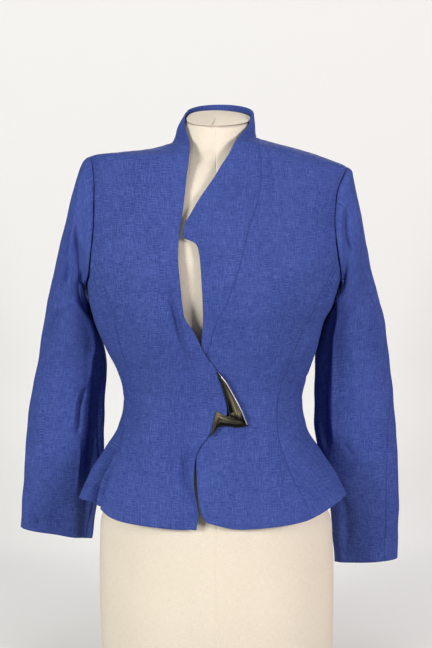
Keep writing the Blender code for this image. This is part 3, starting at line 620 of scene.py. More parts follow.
class ClaspLooks(bpy.types.PropertyGroup):
    """Sizes and colours of the clasp."""

    rim: length("Rim", "Width of the polished rim", 0.0016)
    rise: length("Rise", "Height of the rim over the clasp's back", 0.0022)
    bevel: length("Bevel", "Rounding of its sharp edges", 0.00018)
    metal: colour("Metal", "Dark polished metal", (0.050, 0.047, 0.045))
    # Painted reflection: a brown and olive tone on the clasp's face in place of what the metal mirrors.
    reflection_tint: colour("Tarnish", "Brown and olive tone in its hollows", (0.20, 0.175, 0.105))
    # Painted highlight: a bright tone on the rim in place of the glint of light on it.
    rim_highlight: colour("Polish", "Bright tone of its polished rim", (0.50, 0.46, 0.54))


class StageLooks(bpy.types.PropertyGroup):
    """The floor, the wall behind, the lights and the camera."""

    pale: colour("Floor", "Pale floor and wall", (0.87, 0.86, 0.845))
    bounce: colour("Bounce", "Tone that the floor and wall throw back onto the jacket", (0.34, 0.34, 0.335))
    wall: length("Wall", "Distance of the wall behind the form's middle", 1.0)
    key: power("Key light", "Soft light from the left of the front", 55.0)
    fill: power("Fill light", "Soft light from the right of the front", 52.0)
    top: power("Top light", "Soft light from above", 22.0)
    back: power("Back light", "Soft light on the jacket's back, through the wall", 34.0)
    room: share("Room light", "Even light from all sides", 0.08)
    distance: length("Camera distance", "From the form's middle to the camera", 2.2)
    height: length("Camera height", "Height of the camera over the floor", 0.745)
    tilt: number("Camera tilt", "How far the camera looks down", math.radians(5.5), subtype="ANGLE")
    lens: number("Lens", "Focal length in millimetres", 81.5)


def curve(x, y, at):
    """Values on a monotone cubic through points."""
    x, y = np.asarray(x, float), np.asarray(y, float)
    h = np.diff(x)
    slope = np.diff(y) / h
    tangent = np.zeros_like(y)
    tangent[0], tangent[-1] = slope[0], slope[-1]
    turning = slope[:-1] * slope[1:] <= 0
    weight_a, weight_b = 2 * h[1:] + h[:-1], h[1:] + 2 * h[:-1]
    safe_a = np.where(turning, 1, slope[:-1])
    safe_b = np.where(turning, 1, slope[1:])
    mean = (weight_a + weight_b) / (weight_a / safe_a + weight_b / safe_b)
    tangent[1:-1] = np.where(turning, 0, mean)
    at = np.clip(np.asarray(at, float), x[0], x[-1])
    k = np.clip(np.searchsorted(x, at, side="right") - 1, 0, len(h) - 1)
    t = (at - x[k]) / h[k]
    keep = (1 + 2 * t) * (1 - t) ** 2 * y[k] + t * t * (3 - 2 * t) * y[k + 1]
    return keep + h[k] * (t * (1 - t) ** 2 * tangent[k] + t * t * (t - 1) * tangent[k + 1])


def smooth(rows, column, at):
    """Value of a table's column at any place along its first column."""
    return curve([row[0] for row in rows], [getattr(row, column) for row in rows], at)


def step(at, low, high):
    """0 up to low, 1 from high on, and a smooth rise between them."""
    t = np.clip((np.asarray(at, float) - low) / (high - low), 0, 1)
    return t * t * (3 - 2 * t)


def hump(t):
    """A smooth hump, 1 in the middle and close to 0 two spreads away."""
    return np.exp(-(t**2))


def fold(t):
    """A fold's section: a crisp crest that runs out into the cloth on both sides."""
    return np.exp(1 - np.sqrt(1 + CREASE_CRISP * t**2))


def turn_between(angle, other):
    """The turn from one angle to another, the short way round."""
    return (angle - other + 180) % 360 - 180


def ring_point(rings, angle, level, out=0.0):
    """A point on a ring, moved out from it, as an array whose last axis is x, y, z."""
    angle, level = np.broadcast_arrays(np.asarray(angle, float), np.asarray(level, float))
    s, c = np.sin(np.radians(angle)), np.cos(np.radians(angle))
    width = np.where(s < 0, smooth(rings, "right", level), smooth(rings, "left", level))
    middle = smooth(rings, "side", level)
    front, back = middle - smooth(rings, "front", level), smooth(rings, "back", level) - middle
    square = smooth(rings, "square", level)
    reach = (np.abs(s) / width) ** square + (np.abs(c) / np.where(c > 0, front, back)) ** square
    r = reach ** (-1 / square) + out
    z = level + smooth(rings, "tilt", level) * s - smooth(rings, "pitch", level) * c
    return np.stack([r * s, middle - r * c, z], axis=-1)


def hem_lift(angle, level):
    """How far the hem's line lifts a point of the cloth."""
    grown = np.clip((HIP_LEVEL - level) / (HIP_LEVEL - HEM_LEVEL), 0, 1) ** HEM_GROWTH
    return grown * smooth(HEM_LINE, "lift", turn_between(angle, 0))


def fullness(angle, level):
    """How far the cloth stands out from its ring: flutes and dents at the hem, and room at the chest."""
    out = 0.0
    for flute in FLUTES:
        grown = np.clip((flute.top - level) / (flute.top - HEM_LEVEL), 0, 1) ** FLUTE_GROWTH
        out = out + flute.depth * grown * hump(turn_between(angle, flute.angle) / flute.spread)
    for side in (-1, 1):
        across = hump(turn_between(angle, side * CHEST.angle) / CHEST.spread)
        out = out + CHEST.out * across * hump((level - CHEST.level) / CHEST.height)
    return out


def lap(angle, level):
    """How far the right front stands out where it laps over the left front."""
    return LAP_RISE * step(angle, *LAP_ANGLES) * (1 - step(level, *LAP_LEVELS))


def no_lap(angle, level):
    return np.zeros(np.broadcast(angle, level).shape)


def body(angle, level, over=no_lap):
    """The jacket's outer face, with an extra layer where one panel lies over another."""
    point = ring_point(BODY_RINGS, angle, level, fullness(angle, level) + over(angle, level))
    point[..., 2] += hem_lift(angle, level)
    return point


def angle_at(x, level, back=False):
    """The angle at which a ring is x away from the centre, on its front or its back half."""
    x = np.asarray(x, float)
    width = np.where(x < 0, smooth(BODY_RINGS, "right", level), smooth(BODY_RINGS, "left", level))
    middle = smooth(BODY_RINGS, "side", level)
    end = smooth(BODY_RINGS, "back" if back else "front", level)
    square = smooth(BODY_RINGS, "square", level)
    depth = (end - middle) * (1 - np.clip(np.abs(x) / width, 0, 1) ** square) ** (1 / square)
    return np.degrees(np.arctan2(x, -depth))


def line_angle(rows, level, back=False):
    """The angle of an edge or seam that is stated by its distance from the centre."""
    return angle_at(smooth(rows, "x", level), level, back)


def armhole_angle(side, level, back=False):
    return angle_at(side * smooth(ARMHOLE[side], "x", level), level, back)


def front_outline(side, level):
    """The outer side of a front: side-front seam, armhole, shoulder seam, then the collar's seam."""
    above_tip = side * np.where(level < NECK_LEVEL, 90.0, smooth(COLLAR_SIDE, "angle", level))
    above_seam = np.where(level < SHOULDER_TIP_LEVEL, armhole_angle(side, level), above_tip)
    return np.where(level < SIDE_TOP_LEVEL, line_angle(SIDE_FRONT_SEAM[side], level), above_seam)


def back_outline(side, level):
    """The outer side of a back: the side-back seam, the armhole, then the shoulder seam."""
    above_seam = np.where(level < SHOULDER_TIP_LEVEL, armhole_angle(side, level, True), side * 90.0)
    return np.where(level < SIDE_TOP_LEVEL, line_angle(SIDE_BACK_SEAM[side], level, True), above_seam)


def section_point(value, c, s):
    """A point of a sleeve section, from its sizes and the cosine and sine of a turn round it."""
    x = (value["outer_x"] + value["inner_x"]) / 2 + c * (value["outer_x"] - value["inner_x"]) / 2
    z = (value["outer_z"] + value["inner_z"]) / 2 + c * (value["outer_z"] - value["inner_z"]) / 2
    return np.stack([x, value["back"] - s * value["depth"], z], axis=-1)


def armhole_point(side, turn):
    """The armhole's outline, which the sleeve's first section follows, a small gap outside it."""
    c, s = np.cos(np.radians(turn)), np.sin(np.radians(turn))
    level = (SHOULDER_TIP_LEVEL + ARMPIT_LEVEL) / 2 + c * (SHOULDER_TIP_LEVEL - ARMPIT_LEVEL) / 2
    angle = np.where(s >= 0, armhole_angle(side, level), armhole_angle(side, level, True))
    return body(angle, level) + np.array([side * ARMHOLE_GAP, 0, 0])


def sleeve_point(side, turn, along):
    """A point of a sleeve's outer face: a turn round it, and a way along it counted in sections."""
    sections = SLEEVE_SECTIONS[side]
    turn, along = np.broadcast_arrays(np.asarray(turn, float), np.asarray(along, float))
    c, s = np.cos(np.radians(turn)), np.sin(np.radians(turn))
    reach = (np.abs(c) ** SLEEVE_SQUARE + np.abs(s) ** SLEEVE_SQUARE) ** (-1 / SLEEVE_SQUARE)
    sizes = {name: smooth(sections, name, along) for name in Section._fields}
    hanging = section_point(sizes, c * reach, s * reach)
    start = section_point(sections[0]._asdict(), c * reach, s * reach)
    fade = (1 - step(along, 0, ARMHOLE_FADE))[..., None]
    return hanging + fade * (armhole_point(side, turn) - start)


def ways(points, axis):
    """Distances along the rows or columns of a grid of points, from its first edge."""
    steps = np.linalg.norm(np.diff(points, axis=axis), axis=-1)
    return np.insert(np.cumsum(steps, axis=axis), 0, 0.0, axis=axis)


def places(total, count, edge):
    """Even places along each total, with the close ones of a rounded edge at both ends."""
    total = np.asarray(total, float)[..., None]
    close = np.minimum(edge, total * EDGE_MOST) * np.array(EDGE_PLACES)
    first = close[..., -1:]
    even = first + (total - 2 * first) * np.linspace(0, 1, count)
    return np.concatenate([close[..., :-1], even, (total - close[..., :-1])[..., ::-1]], axis=-1)


def rows_between(low, high, edges, cloth):
    """Rows from low to high, closer where an edge runs across them, so that its steps stay even."""
    fine = np.linspace(low, high, FINE_ROWS)
    longest = np.max([np.diff(ways(edge(fine), 0)) for edge in edges], axis=0)
    way = np.insert(np.cumsum(longest), 0, 0.0)
    count = max(2, math.ceil(way[-1] * MM / cloth.step))
    return np.interp(places(way[-1], count, cloth.edge / MM), way, fine)


def columns_between(point_at, start, end, rows, cloth):
    """The place across each row of every column, between the row's two ends."""
    span = np.linspace(0, 1, FINE_COLUMNS)
    width = ways(point_at(start[:, None] + (end - start)[:, None] * span, rows[:, None]), 1)[:, -1]
    count = max(2, math.ceil(width.max() * MM / cloth.step))
    across = places(width, count, cloth.edge / MM) / width[:, None]
    return start[:, None] + (end - start)[:, None] * across


def grid_normal(points):
    """Unit normals of a grid of points, outward where columns run leftwards and rows upwards."""
    normal = np.cross(np.gradient(points, axis=1), np.gradient(points, axis=0))
    return normal / np.maximum(np.linalg.norm(normal, axis=-1, keepdims=True), SHORTEST_NORMAL)


def crease_height(points, normal, creases):
    """Height of all creases at each point of a grid."""
    height = np.zeros(points.shape[:2])
    for crease in creases:
        across, up, facing, sign = VIEWS[crease.view]
        line = np.array(crease.line, float)
        way = ways(line[:, :2], 0)
        at = np.linspace(0, way[-1], math.ceil(CREASE_PARTS * way[-1] / crease.width))
        x, z, depth = (curve(way, line[:, k], at) for k in range(3))
        seen = step(sign * normal[..., facing], FACING_START, FACING_FULL)
        near = seen > 0
        for axis, place in ((across, x), (up, z)):
            middle, half = (place.max() + place.min()) / 2, (place.max() - place.min()) / 2
            near &= np.abs(points[..., axis] - middle) < half + CREASE_REACH * crease.width
        gap = np.hypot(points[near][:, across, None] - x, points[near][:, up, None] - z)
        nearest = gap.argmin(axis=-1)
        height[near] += seen[near] * depth[nearest] * fold(gap.min(axis=-1) / crease.width)
    return height


def waves(points, lengths, seed):
    """Sine waves in fixed directions of space, added up and divided by the root of their number."""
    draw = np.random.default_rng(seed)
    total = np.zeros(points.shape[:2])
    for wave in lengths:
        direction = draw.normal(size=3)
        direction /= np.linalg.norm(direction)
        total += np.sin(2 * np.pi * (points @ direction / wave + draw.uniform()))
    return total / len(lengths) ** 0.5


def seam_height(points, gaps, sewn, cloth):
    """How the nearest sewn seam draws the cloth in beside it, and the small waves that it leaves."""
    near = {}
    for reach in (PUCKER_REACH, SEAM_DIP_REACH):
        near[reach] = np.max([np.broadcast_to(part * hump(gap / reach), points.shape[:2])
                              for gap, part in zip(gaps, sewn)], axis=0)
    small = cloth.pucker / MM * waves(points, PUCKER_LENGTHS, PUCKER_SEED)
    return small * near[PUCKER_REACH] - cloth.seam_dip / MM * near[SEAM_DIP_REACH]


def shell(middle, normal, half):
    """Points and faces of a closed wall whose two faces meet along its edge, where half is 0."""
    rows, columns = half.shape
    outer = np.arange(rows * columns).reshape(rows, columns)
    inner = outer.copy()
    within = np.arange((rows - 2) * (columns - 2)).reshape(rows - 2, columns - 2)
    inner[1:-1, 1:-1] = rows * columns + within
    apart = normal * half[..., None]
    points = [(middle + apart).reshape(-1, 3), (middle - apart)[1:-1, 1:-1].reshape(-1, 3)]
    faces = []
    for index, way in ((outer, 1), (inner, -1)):
        quads = [index[:-1, :-1], index[:-1, 1:], index[1:, 1:], index[1:, :-1]]
        faces.append(np.stack(quads, axis=-1).reshape(-1, 4)[:, ::way])
    return np.concatenate(points), np.concatenate(faces)


def add_piece(name, points, faces, grain, material, node):
    """One smooth object from points in millimetres, riding in place of its CAD node."""
    mesh = bpy.data.meshes.new(name)
    mesh.from_pydata(points * MM, [], faces)
    corners = np.empty(len(mesh.loops), np.int32)
    mesh.loops.foreach_get("vertex_index", corners)
    layer = mesh.uv_layers.new(name="grain")
    layer.data.foreach_set("uv", (grain[corners] * MM).astype(np.float32).ravel())
    mesh.shade_smooth()
    mesh.materials.append(material)
    made = bpy.data.objects.new(name, mesh)
    bpy.context.scene.collection.objects.link(made)
    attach(made, "root")
    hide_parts(node)
    return made


def thread_places(points, plumb):
    """Where each point lies along the weft and the warp, whose middle thread hangs in a plumb plane. The
    plane is stated by its axis and its place; without one the middle column is that thread."""
    across, up = ways(points, 1), ways(points, 0)
    centre = points.shape[1] // 2
    if plumb is None:
        start = across[:, centre]
    else:
        axis, place = plumb
        rows = points[..., axis]
        way = 1 if rows[0, -1] > rows[0, 0] else -1
        held = np.clip(way * place, (way * rows).min(axis=1), (way * rows).max(axis=1))
        start = [np.interp(at, way * row, far) for at, row, far in zip(held, rows, across)]
        start = np.array(start) - (held - way * place)
    return np.stack([across - start[:, None], np.broadcast_to(up[:, centre, None], up.shape)], axis=-1)


def add_cloth(name, points, sewn, creases, cloth, plumb=None, raised=0.0, calm=1.0):
    """A cloth piece on a grid of points of its outer face. Sewn says, for the first and last column and
    the first and last row, how much of a seam there is."""
    wall = cloth.wall / MM
    normal = grid_normal(points)
    across, up = ways(points, 1), ways(points, 0)
    gaps = [across, across[:, -1:] - across, up, up[-1:] - up]
    out = raised + calm * cloth.creases * crease_height(points, normal, creases)
    out = out + calm * cloth.sway / MM * waves(points, SWAY_LENGTHS, SWAY_SEED)
    out = out + seam_height(points, gaps, sewn, cloth)
    half = np.full(points.shape[:2], wall / 2)
    for gap in gaps:
        half *= np.sqrt(1 - (1 - np.clip(gap * MM / cloth.edge, 0, 1)) ** 2)
    middle = points + normal * (out - wall / 2)[..., None]
    grain = thread_places(points, plumb)
    solid, faces = shell(middle, normal, half)
    grain = np.concatenate([grain.reshape(-1, 2), grain[1:-1, 1:-1].reshape(-1, 2)])
    made = add_piece(name, solid, faces, grain, linen(cloth), name)


def add_panel(name, low, high, start, end, cloth, sewn, over=no_lap):
    """A panel of the body between two edges, which give an angle at each level."""

    def point_at(angle, level):
        return body(angle, level, over)

    edges = [lambda level, edge=edge: point_at(edge(level), level) for edge in (start, end)]
    rows = rows_between(low, high, edges, cloth)
    angle = columns_between(point_at, start(rows), end(rows), rows, cloth)
    points = point_at(angle, np.broadcast_to(rows[:, None], angle.shape))
    sewn = [part(rows)[:, None] if callable(part) else part for part in sewn]
    add_cloth(name, points, sewn, BODY_CREASES, cloth, (0, PLUMB[name]))


def armhole_level(angle, side):
    """The level at which an angle near the armpit meets the armhole, found by halving."""
    low = np.full(angle.shape, ARMPIT_LEVEL)
    high = np.full(angle.shape, (ARMPIT_LEVEL + SHOULDER_TIP_LEVEL) / 2)
    back = np.abs(angle) > 90
    for _ in range(HALVINGS):
        middle = (low + high) / 2
        edge = np.where(back, armhole_angle(side, middle, True), armhole_angle(side, middle))
        inside = np.where(back, np.abs(angle) < np.abs(edge), np.abs(angle) > np.abs(edge))
        low, high = np.where(inside, low, middle), np.where(inside, middle, high)
    return low


def add_side(name, side, cloth):
    """A side panel between the side-front and side-back seams, scooped out under the arm."""

    def front(level):
        return line_angle(SIDE_FRONT_SEAM[side], level)

    def back(level):
        return line_angle(SIDE_BACK_SEAM[side], level, True)

    edges = [lambda level, edge=edge: body(edge(level), level) for edge in (front, back)]
    rows = rows_between(HEM_LEVEL, SIDE_TOP_LEVEL, edges, cloth)
    angle = columns_between(body, front(rows), back(rows), rows, cloth)
    across = (angle - angle[:, :1]) / (angle[:, -1:] - angle[:, :1])
    top = np.full(across.shape[1], SIDE_TOP_LEVEL)
    for _ in range(SCOOP_ROUNDS):
        angle = front(top) + (back(top) - front(top)) * across[-1]
        top[1:-1] = (top[1:-1] + armhole_level(angle[1:-1], side)) / 2
    bent = np.clip((rows - SCOOP_LEVEL) / (SIDE_TOP_LEVEL - SCOOP_LEVEL), 0, 1)[:, None]
    level = np.minimum(rows, SCOOP_LEVEL)[:, None] + bent * (top - SCOOP_LEVEL)
    angle = front(level) + (back(level) - front(level)) * across
    points = body(angle, level)[:, ::side]
    add_cloth(name, points, (1, 1, 0, 1), BODY_CREASES, cloth, (1, 0.0))


def add_sleeve(name, side, cloth):
    """A sleeve in two pieces, the upper one facing the front."""
    last = SLEEVE_SECTIONS[side][-1].number

    def point_at(turn, along):
        return sleeve_point(side, turn, along)

    lines = [lambda along, turn=turn: point_at(turn, along) for turn in range(0, 360, SLEEVE_LINE_TURN)]
    rows = rows_between(0, last, lines, cloth)
    first, second = (smooth(seam, "turn", rows) for seam in SLEEVE_SEAMS[side])
    for piece, start, end in (("upper", first, second), ("under", second, first + 360)):
        turn = columns_between(point_at, start, end, rows, cloth)[:, ::side]
        points = point_at(turn, np.broadcast_to(rows[:, None], turn.shape))
        way = ways(points, 0)
        over = step(np.cos(np.radians(turn)), HEAD_END, HEAD_FULL)
        head = SLEEVE_HEAD.out * over * hump((way - SLEEVE_HEAD.middle) / SLEEVE_HEAD.spread)
        calm = step(way, 0, ARMHOLE_CALM)
        add_cloth(f"{name}_{piece}", points, (1, 1, 1, 0), SLEEVE_CREASES[side], cloth, None, head, calm)


def set_inputs(tree, node, inputs):
    """Links a node's inputs to sockets, or sets their values."""
    for name, value in inputs.items():
        if isinstance(value, bpy.types.NodeSocket):
            tree.links.new(value, node.inputs[name])
        else:
            node.inputs[name].default_value = value


def add_node(tree, kind, inputs=None, **settings):
    """A node with its settings and its inputs."""
    made = tree.nodes.new(kind)
    for name, value in settings.items():
        setattr(made, name, value)
    set_inputs(tree, made, inputs or {})
    return made


def calc(tree, operation, first, second=0.0):
    """The result of one Math node."""
    return add_node(tree, "ShaderNodeMath", {0: first, 1: second}, operation=operation).outputs[0]


def remap(tree, value, low=0.0, high=1.0, start=0.0, end=1.0):
    """A value that runs from start to end while the given one runs from low to high."""
    inputs = {0: value, 1: low, 2: high, 3: start, 4: end}
    return add_node(tree, "ShaderNodeMapRange", inputs, clamp=True).outputs[0]


def mix(tree, part, first, second):
    """A colour between two others, each a socket or three numbers."""
    sockets = bpy.types.NodeSocket
    first, second = (end if isinstance(end, sockets) else (*end, 1) for end in (first, second))
    return add_node(tree, "ShaderNodeMix", {0: part, 6: first, 7: second}, data_type="RGBA").outputs[2]


def noise(tree, place, size, detail):
    """A noise over a piece's grain, as wide and as long as the size says."""
    scale = (*[1 / side for side in size], 0.0)
    spread = add_node(tree, "ShaderNodeVectorMath", {0: place, 1: scale}, operation="MULTIPLY").outputs[0]
    inputs = {"Vector": spread, "Scale": 1.0, "Detail": detail}
    return add_node(tree, "ShaderNodeTexNoise", inputs, noise_dimensions="2D").outputs[0]


def woven_threads():
    """Node group of a plain weave with slubs: the tone of its threads and the height of its face."""
    if "woven_threads" in bpy.data.node_groups:
        return bpy.data.node_groups["woven_threads"]
    group = bpy.data.node_groups.new("woven_threads", "ShaderNodeTree")
    for way, names in (("INPUT", ("Thread", "Slub")), ("OUTPUT", ("Tone", "Height"))):
        for name in names:
            group.interface.new_socket(name, in_out=way, socket_type="NodeSocketFloat")
    given = add_node(group, "NodeGroupInput").outputs
    grain = add_node(group, "ShaderNodeUVMap", uv_map="grain").outputs[0]
    place = add_node(group, "ShaderNodeSeparateXYZ", {0: grain}).outputs
    turn = calc(group, "DIVIDE", math.pi, given["Thread"])
    over = [calc(group, "SINE", calc(group, "MULTIPLY", turn, side)) for side in place[:2]]
    crossing = calc(group, "MULTIPLY", *over)
    yarn, slub = 0.0, 0.0
    for size in YARNS:
        uneven = calc(group, "SUBTRACT", noise(group, grain, size, YARN_DETAIL), NOISE_MEAN)
        yarn = calc(group, "ADD", yarn, uneven)
    for size in SLUBS:
        thick = remap(group, noise(group, grain, size, SLUB_DETAIL), SLUB_START, SLUB_FULL)
        slub = calc(group, "MAXIMUM", slub, thick)
    cloud = calc(group, "SUBTRACT", noise(group, grain, CLOUDS, CLOUD_DETAIL), NOISE_MEAN)
    slub = calc(group, "MULTIPLY", slub, given["Slub"])
    tone = calc(group, "ADD", MEAN_TONE, calc(group, "MULTIPLY", yarn, YARN_TONE))
    tone = calc(group, "ADD", tone, calc(group, "MULTIPLY", cloud, CLOUD_TONE))
    tone = calc(group, "ADD", tone, slub)
    height = calc(group, "MULTIPLY", crossing, CROSSING_HEIGHT)
    height = calc(group, "ADD", height, calc(group, "ADD", slub, yarn))
    add_node(group, "NodeGroupOutput", {"Tone": tone, "Height": height})
    return group


def new_material(name):
    """A material with its plain shader, and the tree that the shader is in."""
    material = bpy.data.materials.new(name)
    material.use_nodes = True
    return material, material.node_tree, material.node_tree.nodes["Principled BSDF"]


def woven_material(name, looks, slub, relief, roughness, sheen):
    """A woven cloth: the share of its slubs, the relief of its weave, and the sheen of its fibres."""
    material, tree, shader = new_material(name)
    given = {"Thread": looks.thread, "Slub": slub}
    tone, height = add_node(tree, "ShaderNodeGroup", given, node_tree=woven_threads()).outputs
    bump = add_node(tree, "ShaderNodeBump", {"Height": height, "Strength": 1.0, "Distance": relief})
    set_inputs(tree, shader, {
        "Base Color": mix(tree, tone, looks.deep, looks.light),
        "Roughness": remap(tree, tone, start=roughness, end=roughness - LIGHT_THREAD_POLISH),
        "Normal": bump.outputs[0],
        "Specular IOR Level": CLOTH_SHINE,
        "Sheen Weight": sheen,
        "Sheen Roughness": SHEEN_SPREAD,
        "Sheen Tint": (*looks.light, 1),
    })
    return material


def linen(cloth):
    """The jacket's royal blue slubby linen."""
    if "slubby_linen" in bpy.data.materials:
        return bpy.data.materials["slubby_linen"]
    return woven_material("slubby_linen", cloth, slub=0.60, relief=0.00007, roughness=0.92, sheen=0.05)


def canvas(looks):
    """The form's cream canvas cover."""
    return woven_material("cream_canvas", looks, slub=0.12, relief=0.00012, roughness=0.95, sheen=0.1)


def reflection_share(tree, station):
    """The share of painted reflection along the clasp's strip, by the station."""
    ramp = add_node(tree, "ShaderNodeValToRGB", {0: calc(tree, "DIVIDE", station, len(CLASP))})
    stops = ramp.color_ramp.elements
    for _ in REFLECTION_SHARES[len(stops):]:
        stops.new(1.0)
    for stop, painted_reflection in zip(stops, REFLECTION_SHARES):
        stop.position = painted_reflection.station / len(CLASP)
        stop.color = (painted_reflection.share, painted_reflection.share, painted_reflection.share, 1)
    return ramp.outputs[0]


def dark_metal(looks):
    """Dark polished metal: a painted rim highlight, painted brown and olive reflections, fine scratches."""
    material, tree, shader = new_material("polished_metal")
    strip = add_node(tree, "ShaderNodeUVMap", uv_map="grain").outputs[0]
    facet, station = add_node(tree, "ShaderNodeSeparateXYZ", {0: strip}).outputs[:2]
    # Painted reflection: a streaked brown and olive band along the middle of the blade's face and the
    # foot's.
    foot = remap(tree, station, BLADE_END, FOOT_START)
    middle = remap(tree, foot, start=BLADE_REFLECTION, end=FOOT_REFLECTION)
    spread = remap(tree, foot, start=BLADE_SPREAD, end=FOOT_SPREAD)
    off = calc(tree, "ABSOLUTE", calc(tree, "SUBTRACT", facet, middle))
    across = remap(tree, calc(tree, "DIVIDE", off, spread), 1.0, REFLECTION_FULL)
    streaks = noise(tree, strip, STREAK_SIZE, STREAK_DETAIL)
    streak = remap(tree, streaks, STREAK_BARE, STREAK_FULL, STREAK_LEAST)
    painted_reflection = calc(tree, "MULTIPLY", calc(tree, "MULTIPLY", across, reflection_share(tree, station)), streak)
    # Painted highlight: the rim's facet gets a bright plain tone in place of the glint of light on it.
    off_highlight = calc(tree, "ABSOLUTE", calc(tree, "SUBTRACT", facet, HIGHLIGHT_FACET))
    rim = calc(tree, "LESS_THAN", off_highlight, HIGHLIGHT_HALF)
    rim = calc(tree, "MULTIPLY", rim, calc(tree, "LESS_THAN", station, HIGHLIGHT_END))
    place = add_node(tree, "ShaderNodeTexCoord").outputs["Object"]
    inputs = {"Vector": place, "Scale": SCRATCH_SCALE, "Detail": SCRATCH_DETAIL}
    scratch = add_node(tree, "ShaderNodeTexNoise", inputs).outputs[0]
    bump = add_node(tree, "ShaderNodeBump", {"Height": scratch, "Distance": SCRATCH_DEPTH})
    set_inputs(tree, shader, {
        # Where the painted reflection or the painted highlight lies, the metal gives way to a plain painted
        # tone.
        "Base Color": mix(tree, rim, mix(tree, painted_reflection, looks.metal, looks.reflection_tint), looks.rim_highlight),
        "Metallic": calc(tree, "SUBTRACT", 1.0, calc(tree, "MAXIMUM", painted_reflection, rim)),
        "Roughness": remap(tree, scratch, start=SMOOTH_METAL, end=DULL_METAL),
        "Normal": bump.outputs[0],
    })
    return material


class MakeFronts(bpy.types.Operator):
    """Make the right front, the left front and the left front's pointed collar piece"""

    bl_idname = "jacket.fronts"
    bl_label = "Fronts"

    def execute(self, context):
        cloth = context.scene.jacket_cloth
        seam_end = COLLAR_SEAM[0].level

        def right_edge(level):
            return line_angle(RIGHT_FRONT_EDGE, level)

        def left_edge(level):
            return line_angle(LEFT_FRONT_EDGE, level)

        def left_inner(level):
            return np.where(level < seam_end, left_edge(level), line_angle(COLLAR_SEAM, level))

        def collar_outer(level):
            side = smooth(COLLAR_SIDE, "angle", level)
            return np.where(level < NECK_LEVEL, line_angle(COLLAR_SEAM, level), side)

        def above_seam_end(level):
            return np.where(level < seam_end, 0.0, 1.0)

        add_panel("front_right", HEM_LEVEL, COLLAR_TOP_LEVEL, lambda level: front_outline(-1, level),
                  right_edge, cloth, (1, 0, 0, 0), lap)
        add_panel("front_left", HEM_LEVEL, NECK_LEVEL - NECK_TIP, left_inner,
                  lambda level: front_outline(1, level), cloth, (above_seam_end, 1, 0, 1))
        add_panel("front_left_collar", seam_end + PANEL_TIP, COLLAR_TOP_LEVEL, left_edge, collar_outer,
                  cloth, (0, 1, 1, 0))
        return {"FINISHED"}


class MakeBacks(bpy.types.Operator):
    """Make the two backs, the two side panels and the back of the stand collar"""

    bl_idname = "jacket.backs"
    bl_label = "Backs and sides"

    def execute(self, context):
        cloth = context.scene.jacket_cloth

        def centre(level):
            return np.full(np.shape(level), 180.0)

        def collar_seam(level):
            return smooth(COLLAR_SIDE, "angle", level)

        add_panel("back_left", HEM_LEVEL, NECK_LEVEL, lambda level: back_outline(1, level), centre, cloth,
                  (1, 1, 0, 1))
        add_panel("back_right", HEM_LEVEL, NECK_LEVEL, centre, lambda level: back_outline(-1, level) + 360,
                  cloth, (1, 1, 0, 1))
        add_side("side_left", 1, cloth)
        add_side("side_right", -1, cloth)
        add_panel("collar_back", NECK_LEVEL, COLLAR_TOP_LEVEL, collar_seam,
                  lambda level: 360 - collar_seam(level), cloth, (1, 1, 1, 0))
        return {"FINISHED"}


class MakeSleeves(bpy.types.Operator):
    """Make both two-piece sleeves"""

    bl_idname = "jacket.sleeves"
    bl_label = "Sleeves"

    def execute(self, context):
        add_sleeve("sleeve_right", -1, context.scene.jacket_cloth)
        add_sleeve("sleeve_left", 1, context.scene.jacket_cloth)
        return {"FINISHED"}


def loft(rings):
    """Points and faces of a closed solid through rings of points, with a flat face at each end."""
    count, around = rings.shape[:2]
    index = np.arange(count * around).reshape(count, around)
    turned = np.roll(index, -1, axis=1)
    sides = np.stack([index[:-1], turned[:-1], turned[1:], index[1:]], axis=-1).reshape(-1, 4)
    return rings.reshape(-1, 3), [index[0][::-1].tolist(), index[-1].tolist(), *sides.tolist()]


class MakeClasp(bpy.types.Operator):
    """Make the angular metal clasp: a bent strip with a polished rim along its outer edge"""

    bl_idname = "jacket.clasp"
    bl_label = "Clasp"

    def execute(self, context):
        looks = context.scene.jacket_clasp
        blade = np.linspace(0, BLADE_END, BLADE_END * BLADE_PARTS + 1)
        at = np.concatenate([blade, np.arange(BLADE_END + 1, len(CLASP))])
        inner = np.stack([smooth(CLASP, "inner_x", at), smooth(CLASP, "inner_z", at)], axis=-1)
        outer = np.stack([smooth(CLASP, "outer_x", at), smooth(CLASP, "outer_z", at)], axis=-1)
        crown = smooth(CLASP, "crown", at)
        width = np.linalg.norm(outer - inner, axis=1)
        rim = np.minimum(looks.rim / MM / width, RIM_MOST)
        rings = []
        for corner in CLASP_SECTION:
            flat = outer + (inner - outer) * (corner.across + corner.rims * rim)[:, None]
            angle = angle_at(flat[:, 0], flat[:, 1])
            height = corner.face * looks.rise / MM - corner.drop + corner.crown * crown
            out = fullness(angle, flat[:, 1]) + CLASP_REST + height
            rings.append(ring_point(BODY_RINGS, angle, flat[:, 1], out))
        points, faces = loft(np.stack(rings, axis=1))
        # Places on the metal are counted in corners and stations, so they are not to be scaled to metres.
        facet, station = np.meshgrid(np.arange(len(CLASP_SECTION)), at)
        grain = np.stack([facet, station], axis=-1).reshape(-1, 2) / MM
        made = add_piece("clasp", points, faces, grain, dark_metal(looks), "clasp")
        bevel = made.modifiers.new("polished_edges", "BEVEL")
        bevel.width = looks.bevel
        bevel.segments = BEVEL_PARTS
        bevel.limit_method = "ANGLE"
        bevel.angle_limit = SHARP_ANGLE
        made.data.set_sharp_from_angle(angle=SHARP_ANGLE)
        return {"FINISHED"}


# Angles of the form's seams, the steps between the rows and columns of its mesh, the columns beside a
# seam, and a seam's spread.
FORM_SEAMS = (1.5, 90.0, 180.0, 270.0)
FORM_ROW = 6.0
FORM_TURN = 3.0
SEAM_TURNS = (0.0, 0.25, 0.6, 1.1, 1.8)
SEAM_SPREAD = 0.9
